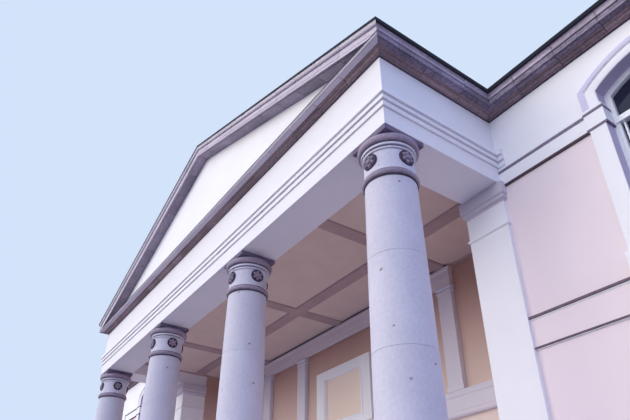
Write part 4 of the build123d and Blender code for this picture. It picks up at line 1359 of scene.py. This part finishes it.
def build_sashes(places, sizes):
    """Painted timber frames, mullions, transoms and glazing bars."""
    near, far = FRAME_DEPTHS
    frame_w, frame_splay = 0.095, 0.02
    mullion_half, transom_half = 0.032, 0.05
    panes_across, panes_up = 6, 4
    half = WINDOW_HALF - 0.05
    bar = sizes.glazing_bar
    bar_y = (near + 0.03, far - 0.005)
    profile = [(0.0, -far), (0.0, -near), (frame_splay - frame_w, -near), (-frame_w, -near - frame_splay),
               (-frame_w, -far)]
    rows = (
        ("upper", upper_path, STRING_Z[1], IMPOST_Z[0] + 0.095),
        ("lower", lower_path, LOWER_SILL, LOWER_TRANSOM),
    )
    for name, path, sill, transom in rows:
        shape = Shape()
        span = (sill + 0.05, transom)
        for place in places:
            moulding(shape, spine(path(), closed=True), profile, on_wall(place), closed=True)
            rail = (transom - transom_half, transom + transom_half)
            shape.block((-half, half), (near - 0.02, far), rail, place)
            for x in (-WINDOW_HALF / 2, WINDOW_HALF / 2):
                shape.block((x - mullion_half, x + mullion_half), FRAME_DEPTHS, span, place)
            for i in range(panes_across):
                x = WINDOW_HALF * (2 * (i + 0.5) / panes_across - 1)
                shape.block((x - bar / 2, x + bar / 2), bar_y, span, place)
            for i in range(1, panes_up):
                z = sill + (transom - sill) * i / panes_up
                half_bar = bar if i == panes_up // 2 else bar / 2
                shape.block((-half, half), bar_y, (z - half_bar, z + half_bar), place)
        finish_piece(f"{name}_sashes", shape, FINISHES["paint"], "sash_paint", f"{name}_window_frames",
                     bevel=0.003)
        dress(f"{name}_window_glass", FINISHES["glass"])


# Porch


PANEL_Z = CEILING_Z - 0.12
RIB_DROP = 0.045


def build_porch_order():
    """Sill band, pilasters and the band over them on the porch's back wall."""
    q, y = PORCH_X, PORCH_Y
    out = 0.12
    z0, z1 = STRING_Z
    top = PANEL_Z - RIB_DROP
    band_z = 8.05
    end = 4.06
    pilaster_w, pilaster_xs = 0.40, (1.70, 3.66)
    lesser = 0.045
    shape, upper, soot = Shape(), Shape(), Shape()
    sill = [(-0.02, z0), (out - 0.03, z0), (out, z0 + 0.03), (out, z0 + 0.09), (out - 0.03, z0 + 0.12),
            (out - 0.03, z1 - 0.13), (out - 0.01, z1 - 0.10), (out - 0.01, z1 - 0.05), (out, z1 - 0.04),
            (out, z1), (-0.02, z1)]
    moulding(shape, spine([(-q, y), (q, y)]), sill)
    side_sill = [(a - out + lesser, z) if a > 0 else (a, z) for a, z in sill]
    for path in ([(-q, BEAM_BACK_Y), (-q, y)], [(q, y), (q, BEAM_BACK_Y)]):
        moulding(shape, spine(path), side_sill)
    pilaster = [(-0.1, z1), (0.02, z1), (0.02, z1 + 0.10), (0.0, z1 + 0.12), (0.0, 7.86), (0.02, 7.88),
                (0.02, 7.91), (0.0, 7.93), (0.0, band_z - 0.11), (0.03, band_z - 0.08), (0.03, band_z),
                (-0.1, band_z)]
    for side in (-1, 1):
        for start in pilaster_xs:
            x0, x1 = sorted((side * start, side * (start + pilaster_w)))
            moulding(shape, spine([(x0, y), (x0, y - out), (x1, y - out), (x1, y)]), pilaster)
    beam = [(-0.1, band_z), (0.0, band_z), (0.0, band_z + 0.13), (0.012, band_z + 0.14), (0.012, top - 0.11)]
    beam += curve((0.012, top - 0.11), (0.03, top - 0.06), "cyma")[1:] + [(0.03, top), (-0.1, top)]
    moulding(upper, spine([(-end, y), (-end, y - out), (end, y - out), (end, y)]), beam)
    # A near-black strip of painted shade where the band meets the ceiling
    soot.block((-end, end), (y - out - lesser, y), (top - 0.004, top + 0.022))
    finish_piece("porch_ceiling_line", soot, FINISHES["grime"], "white_stucco")
    finish_piece("porch_upper_band", upper, FINISHES["porch_band"], "white_stucco", bevel=0.004)
    finish_piece("porch_pilasters", shape, FINISHES["shaded"], "white_stucco", "porch_order", bevel=0.005)


def build_ceiling():
    """Small mouldings round each panel of the porch ceiling, and the faces of the ribs between them."""
    z, foot = PANEL_Z, PANEL_Z - RIB_DROP
    rib = 0.12
    xs = (-3.83, 0.0, 3.83)
    near, cross = COLUMN_Y + BEAM_HALF, COLUMN_Y + 2.65
    edges_x = [-PORCH_X] + [x + s * rib for x in xs for s in (-1, 1)] + [PORCH_X]
    edges_y = [near, cross - rib, cross + rib, PORCH_Y]
    panels_x = list(zip(edges_x[::2], edges_x[1::2]))
    profile = [(-0.01, z + 0.01), (-0.01, foot), (0.0, foot)]
    profile += curve((0.0, foot), (0.05, z), "ovolo")[1:] + [(0.05, z + 0.01)]
    shape, faces = Shape(), Shape()
    for x0, x1 in panels_x:
        for y0, y1 in zip(edges_y[::2], edges_y[1::2]):
            path = [(x0, y0), (x0, y1), (x1, y1), (x1, y0)]
            moulding(shape, spine(path, closed=True), profile, closed=True)
    # The ribs and mouldings are browner as painted shade on the ceiling
    finish_piece("ceiling_mouldings", shape, FINISHES["rib"], "ceiling_plaster")
    under = (foot - 0.003, foot + 0.002)
    for x in xs:
        faces.block((x - rib, x + rib), (near, PORCH_Y), under)
    for panel in panels_x:
        faces.block(panel, (cross - rib, cross + rib), under)
    finish_piece("ceiling_rib_faces", faces, FINISHES["rib"], "ceiling_plaster")
    dress("portico_ceiling", FINISHES["plaster"])


def build_panel():
    """Mouldings round the panel over the door, and its painted field."""
    half, foot, top = 0.76, 5.91, 7.10
    face_out = 0.09
    shape, field = Shape(), Shape()
    place = Matrix.Translation((0, PORCH_Y - face_out, 0))
    inner = [(half, foot), (half, top), (-half, top), (-half, foot)]
    profile = [(0.08, -0.01), (0.08, 0.006), (0.060, 0.022), (0.02, 0.022), (0.0, 0.0), (-0.02, -0.03),
               (-0.02, -0.07), (0.0, -0.07)]
    moulding(shape, spine(inner, closed=True), profile, on_wall(place), closed=True)
    finish_piece("panel_mouldings", shape, FINISHES["white"], "white_stucco")
    field.block((-half, half), (0.062, 0.075), (foot, top), place)
    finish_piece("panel_field", field, FINISHES["field"], "stucco")
    dress("over_door_panel", FINISHES["white"], bevel=0.008)


def build_doors():
    """Panelled leaves in a moulded case, with a light over them."""
    dress("door_case", FINISHES["paint"], bevel=0.006)
    dress("entrance_doors", FINISHES["paint"], bevel=0.004)
    dress("door_light", FINISHES["glass"])
    leaf_in = 0.23
    panel_x = (0.13, 0.79)
    panel_rows = ((0.80, 1.55), (1.70, 2.45), (2.60, 3.20))
    profile = [(0.0, -0.005), (0.0, 0.004), (-0.02, 0.018), (-0.04, 0.006), (-0.04, -0.005)]
    shape = Shape()
    place = Matrix.Translation((0, PORCH_Y + leaf_in, 0))
    for side in (-1, 1):
        x0, x1 = sorted(side * x for x in panel_x)
        for z0, z1 in panel_rows:
            path = [(x1, z0), (x1, z1), (x0, z1), (x0, z0)]
            moulding(shape, spine(path, closed=True), profile, on_wall(place), closed=True)
    finish_piece("door_panel_mouldings", shape, FINISHES["paint"], "door_paint")


# Operators


class COURTHOUSE_OT_finishes(bpy.types.Operator):
    """Mix the stone, stucco, slate, timber and glass finishes."""

    bl_idname = "courthouse.finishes"
    bl_label = "Finishes"

    def execute(self, context):
        colours = context.scene.courthouse_colours
        mix_stones(colours)
        mix_stuccoes(colours)
        mix_coats()
        return {"FINISHED"}


class COURTHOUSE_OT_walls(bpy.types.Operator):
    """Finish the walls, floors and ceilings."""

    bl_idname = "courthouse.walls"
    bl_label = "Walls and floors"

    def execute(self, context):
        for node in ("front_wall_left", "front_wall_right", "side_wall_left", "side_wall_right", "rear_wall"):
            dress(node, FINISHES["wall"])
        for node in ("porch_side_walls", "porch_back_wall"):
            dress(node, FINISHES["porch"])
        for node in ("ground_floor", "upper_floor"):
            dress(node, FINISHES["boards"])
        dress("upper_ceiling", FINISHES["plaster"])
        return {"FINISHED"}


class COURTHOUSE_OT_bands(bpy.types.Operator):
    """Build the plinth, the string course and the impost band."""

    bl_idname = "courthouse.bands"
    bl_label = "Plinth and bands"

    def execute(self, context):
        build_plinth()
        build_string_course()
        build_impost_band()
        return {"FINISHED"}


class COURTHOUSE_OT_piers(bpy.types.Operator):
    """Build the antae and the corner pilasters."""

    bl_idname = "courthouse.piers"
    bl_label = "Antae and corner pilasters"

    def execute(self, context):
        build_antae()
        build_corner_pilasters()
        return {"FINISHED"}


class COURTHOUSE_OT_columns(bpy.types.Operator):
    """Build the four columns with their bases and capitals."""

    bl_idname = "courthouse.columns"
    bl_label = "Columns"

    def execute(self, context):
        bases, capitals, rims, slabs, soot = Shape(), Shape(), Shape(), Shape(), Shape()
        for number, x in enumerate(COLUMN_XS, 1):
            build_shaft(number, context.scene.courthouse_sizes.drum_joint)
            build_base(bases, x)
            build_capital(capitals, rims, slabs, soot, x)
        finish_piece("attic_bases", bases, FINISHES["limestone"], "limestone", "column_bases")
        finish_piece("bossed_capitals", capitals, FINISHES["limestone"], "limestone", "column_capitals")
        # Astragals, rims and bosses in a grey that is partly painted shade
        finish_piece("capital_rims", rims, FINISHES["dulled"], "limestone")
        # The slabs' dark violet is painted shade under the beams
        finish_piece("capital_slabs", slabs, FINISHES["abacus"], "limestone")
        finish_piece("capital_soot", soot, FINISHES["grime"], "limestone")
        return {"FINISHED"}


class COURTHOUSE_OT_portico(bpy.types.Operator):
    """Finish the platform and steps, and build the entablature over the columns."""

    bl_idname = "courthouse.portico"
    bl_label = "Portico"

    def execute(self, context):
        dress("portico_platform", FINISHES["limestone"], bevel=0.012)
        dress("portico_steps", FINISHES["limestone"], bevel=0.012)
        build_entablature()
        return {"FINISHED"}


class COURTHOUSE_OT_cornice(bpy.types.Operator):
    """Build the cornice, the raking cornice and the gable."""

    bl_idname = "courthouse.cornice"
    bl_label = "Cornice and pediment"

    def execute(self, context):
        build_cornice(context.scene.courthouse_sizes)
        build_pediment(context.scene.courthouse_sizes)
        return {"FINISHED"}


class COURTHOUSE_OT_roof(bpy.types.Operator):
    """Slate the six slopes and lead the ridges and hips."""

    bl_idname = "courthouse.roof"
    bl_label = "Roof"

    def execute(self, context):
        build_roofs(context.scene.courthouse_sizes)
        build_ridges()
        return {"FINISHED"}


class COURTHOUSE_OT_windows(bpy.types.Operator):
    """Build the architraves, sills and sashes of both window rows."""

    bl_idname = "courthouse.windows"
    bl_label = "Windows"

    def execute(self, context):
        places = window_places()
        build_surrounds(places)
        build_reveals(places)
        build_sashes(places, context.scene.courthouse_sizes)
        return {"FINISHED"}


class COURTHOUSE_OT_porch(bpy.types.Operator):
    """Build the porch's pilasters, ceiling, panel and doors."""

    bl_idname = "courthouse.porch"
    bl_label = "Porch"

    def execute(self, context):
        build_porch_order()
        build_ceiling()
        build_panel()
        build_doors()
        return {"FINISHED"}


# Stage

CAMERA_AT = (11.45, -12.65, 2.23)
CAMERA_YAW = math.radians(-55.2)
CAMERA_PITCH = math.radians(30.0)
CAMERA_ROLL = math.radians(-0.10)
CAMERA_LENS = 32.1
CAMERA_RISE = 0.08
SKY_STRENGTH = 1.30
GLOW_FROM = (-0.15, -0.97, 0.17)
GLOW_STRENGTH = 2.2
GLOW_NARROWNESS = 3.0
SUNS = (
    ("hazy_left_sun", (-0.75, -0.90, 0.40), 0.95, 50, "#fff1d8"),
    ("weak_rear_sun", (-0.60, 0.70, 0.45), 0.90, 15, "#fff6e6"),
)
PALE = "#c7d0df"
FLOOR_HALF = 4000.0
FLOOR_SHEET_Z = (-0.002, -0.001)


def aim_camera(camera):
    """Stand the camera in the street, turned up to the portico."""
    ahead = Vector((math.sin(CAMERA_YAW) * math.cos(CAMERA_PITCH),
                    math.cos(CAMERA_YAW) * math.cos(CAMERA_PITCH), math.sin(CAMERA_PITCH)))
    right = ahead.cross(Vector((0, 0, 1))).normalized()
    above = right.cross(ahead)
    right, above = (right * math.cos(CAMERA_ROLL) + above * math.sin(CAMERA_ROLL),
                    above * math.cos(CAMERA_ROLL) - right * math.sin(CAMERA_ROLL))
    turn = Matrix((right, above, -ahead)).transposed().to_4x4()
    camera.matrix_world = Matrix.Translation(CAMERA_AT) @ turn


def background_rays(tree):
    """Whether a ray comes from the camera, a mirror or a pane, and so should see the pale background."""
    rays = add_node(tree, "ShaderNodeLightPath")
    seen = rays.outputs["Is Camera Ray"]
    for name in ("Is Glossy Ray", "Is Transmission Ray"):
        ray = rays.outputs[name]
        seen = add_node(tree, "ShaderNodeMath", {0: seen, 1: ray}, operation="MAXIMUM").outputs[0]
    return seen


def build_sky(scene):
    """Soft blue light all round, a warm glow low in front, and a pale backdrop for camera and mirror rays."""
    world = bpy.data.worlds.new("pale_studio")
    scene.world = world
    world.use_nodes = True
    tree = world.node_tree
    tree.nodes.clear()
    sky = add_node(tree, "ShaderNodeBackground", {"Color": linear("#b4caff"), "Strength": SKY_STRENGTH})
    way = add_node(tree, "ShaderNodeTexCoord").outputs["Generated"]
    facing = add_node(tree, "ShaderNodeVectorMath", {0: way, 1: GLOW_FROM}, operation="DOT_PRODUCT")
    strength = facing.outputs["Value"]
    for operation, value in (("MAXIMUM", 0.0), ("POWER", GLOW_NARROWNESS), ("MULTIPLY", GLOW_STRENGTH)):
        strength = add_node(tree, "ShaderNodeMath", {0: strength, 1: value}, operation=operation).outputs[0]
    glow = add_node(tree, "ShaderNodeBackground", {"Color": linear("#fff1bc"), "Strength": strength})
    light = add_node(tree, "ShaderNodeAddShader", {0: sky.outputs[0], 1: glow.outputs[0]})
    backdrop = add_node(tree, "ShaderNodeBackground", {"Color": linear("#d3e3fa"), "Strength": 1.0})
    both = add_node(tree, "ShaderNodeMixShader",
                    {0: background_rays(tree), 1: light.outputs[0], 2: backdrop.outputs[0]})
    add_node(tree, "ShaderNodeOutputWorld", {"Surface": both.outputs[0]})


def floor_finish():
    """A pale matt floor that sends only a street's dull light back up at the building."""
    material, tree, shader, _ = new_finish("pale_studio_floor")
    paint = add_node(tree, "ShaderNodeMix",
                     {SHARE: background_rays(tree), COLOUR_A: linear("#645e68"), COLOUR_B: linear(PALE)},
                     data_type="RGBA")
    tree.links.new(paint.outputs[COLOUR_OUT], shader.inputs["Base Color"])
    shader.inputs["Roughness"].default_value = 0.9
    return material


def add_sun(scene, name, towards, strength, degrees, colour):
    """A lamp as far off and as soft as a hazy sun."""
    lamp = bpy.data.lights.new(name, "SUN")
    lamp.energy = strength
    lamp.angle = math.radians(degrees)
    lamp.color = linear(colour)[:3]
    sun = bpy.data.objects.new(name, lamp)
    sun.rotation_euler = Vector(towards).to_track_quat("Z", "Y").to_euler()
    scene.collection.objects.link(sun)


class COURTHOUSE_OT_stage(bpy.types.Operator):
    """Set the pale floor, the soft light and the camera."""

    bl_idname = "courthouse.stage"
    bl_label = "Stage"

    def execute(self, context):
        scene = context.scene
        scene.view_settings.view_transform = "Standard"
        build_sky(scene)
        edges = (-FLOOR_HALF, FLOOR_HALF)
        ground = Shape()
        ground.block(edges, edges, FLOOR_SHEET_Z)
        mesh = bpy.data.meshes.new("pale_floor")
        mesh.from_pydata(ground.points, [], [list(face) for face in ground.faces])
        mesh.materials.append(floor_finish())
        floor = bpy.data.objects.new("pale_floor", mesh)
        scene.collection.objects.link(floor)
        for sun in SUNS:
            add_sun(scene, *sun)
        camera = bpy.data.objects.new("camera", bpy.data.cameras.new("camera"))
        camera.data.lens = CAMERA_LENS
        camera.data.shift_y = CAMERA_RISE
        camera.data.clip_end = 2 * FLOOR_HALF
        scene.collection.objects.link(camera)
        aim_camera(camera)
        scene.camera = camera
        return {"FINISHED"}


BUILD_ORDER = (
    COURTHOUSE_OT_stage,
    COURTHOUSE_OT_finishes,
    COURTHOUSE_OT_walls,
    COURTHOUSE_OT_bands,
    COURTHOUSE_OT_piers,
    COURTHOUSE_OT_columns,
    COURTHOUSE_OT_portico,
    COURTHOUSE_OT_cornice,
    COURTHOUSE_OT_roof,
    COURTHOUSE_OT_windows,
    COURTHOUSE_OT_porch,
)


class COURTHOUSE_PT_panel(bpy.types.Panel):
    """The courthouse's sizes, colours and building steps."""

    bl_idname = "COURTHOUSE_PT_panel"
    bl_label = "Courthouse"
    bl_space_type = "VIEW_3D"
    bl_region_type = "UI"
    bl_category = "Courthouse"

    def draw(self, context):
        layout = self.layout
        for group in (context.scene.courthouse_sizes, context.scene.courthouse_colours):
            for name in group.bl_rna.properties.keys():
                if name not in ("rna_type", "name"):
                    layout.prop(group, name)
        for step in BUILD_ORDER:
            layout.operator(step.bl_idname)


CLASSES = (CourthouseSizes, CourthouseColours) + BUILD_ORDER + (COURTHOUSE_PT_panel,)


def register():
    """Add the sizes, colours, steps and panel to Blender."""
    for item in CLASSES:
        bpy.utils.register_class(item)
    bpy.types.Scene.courthouse_sizes = PointerProperty(type=CourthouseSizes)
    bpy.types.Scene.courthouse_colours = PointerProperty(type=CourthouseColours)


def unregister():
    """Take them out again."""
    del bpy.types.Scene.courthouse_colours
    del bpy.types.Scene.courthouse_sizes
    for item in reversed(CLASSES):
        bpy.utils.unregister_class(item)


def main():
    """Build the courthouse in order."""
    register()
    for step in BUILD_ORDER:
        group, name = step.bl_idname.split(".")
        getattr(getattr(bpy.ops, group), name)()


if __name__ == "__main__":
    main()
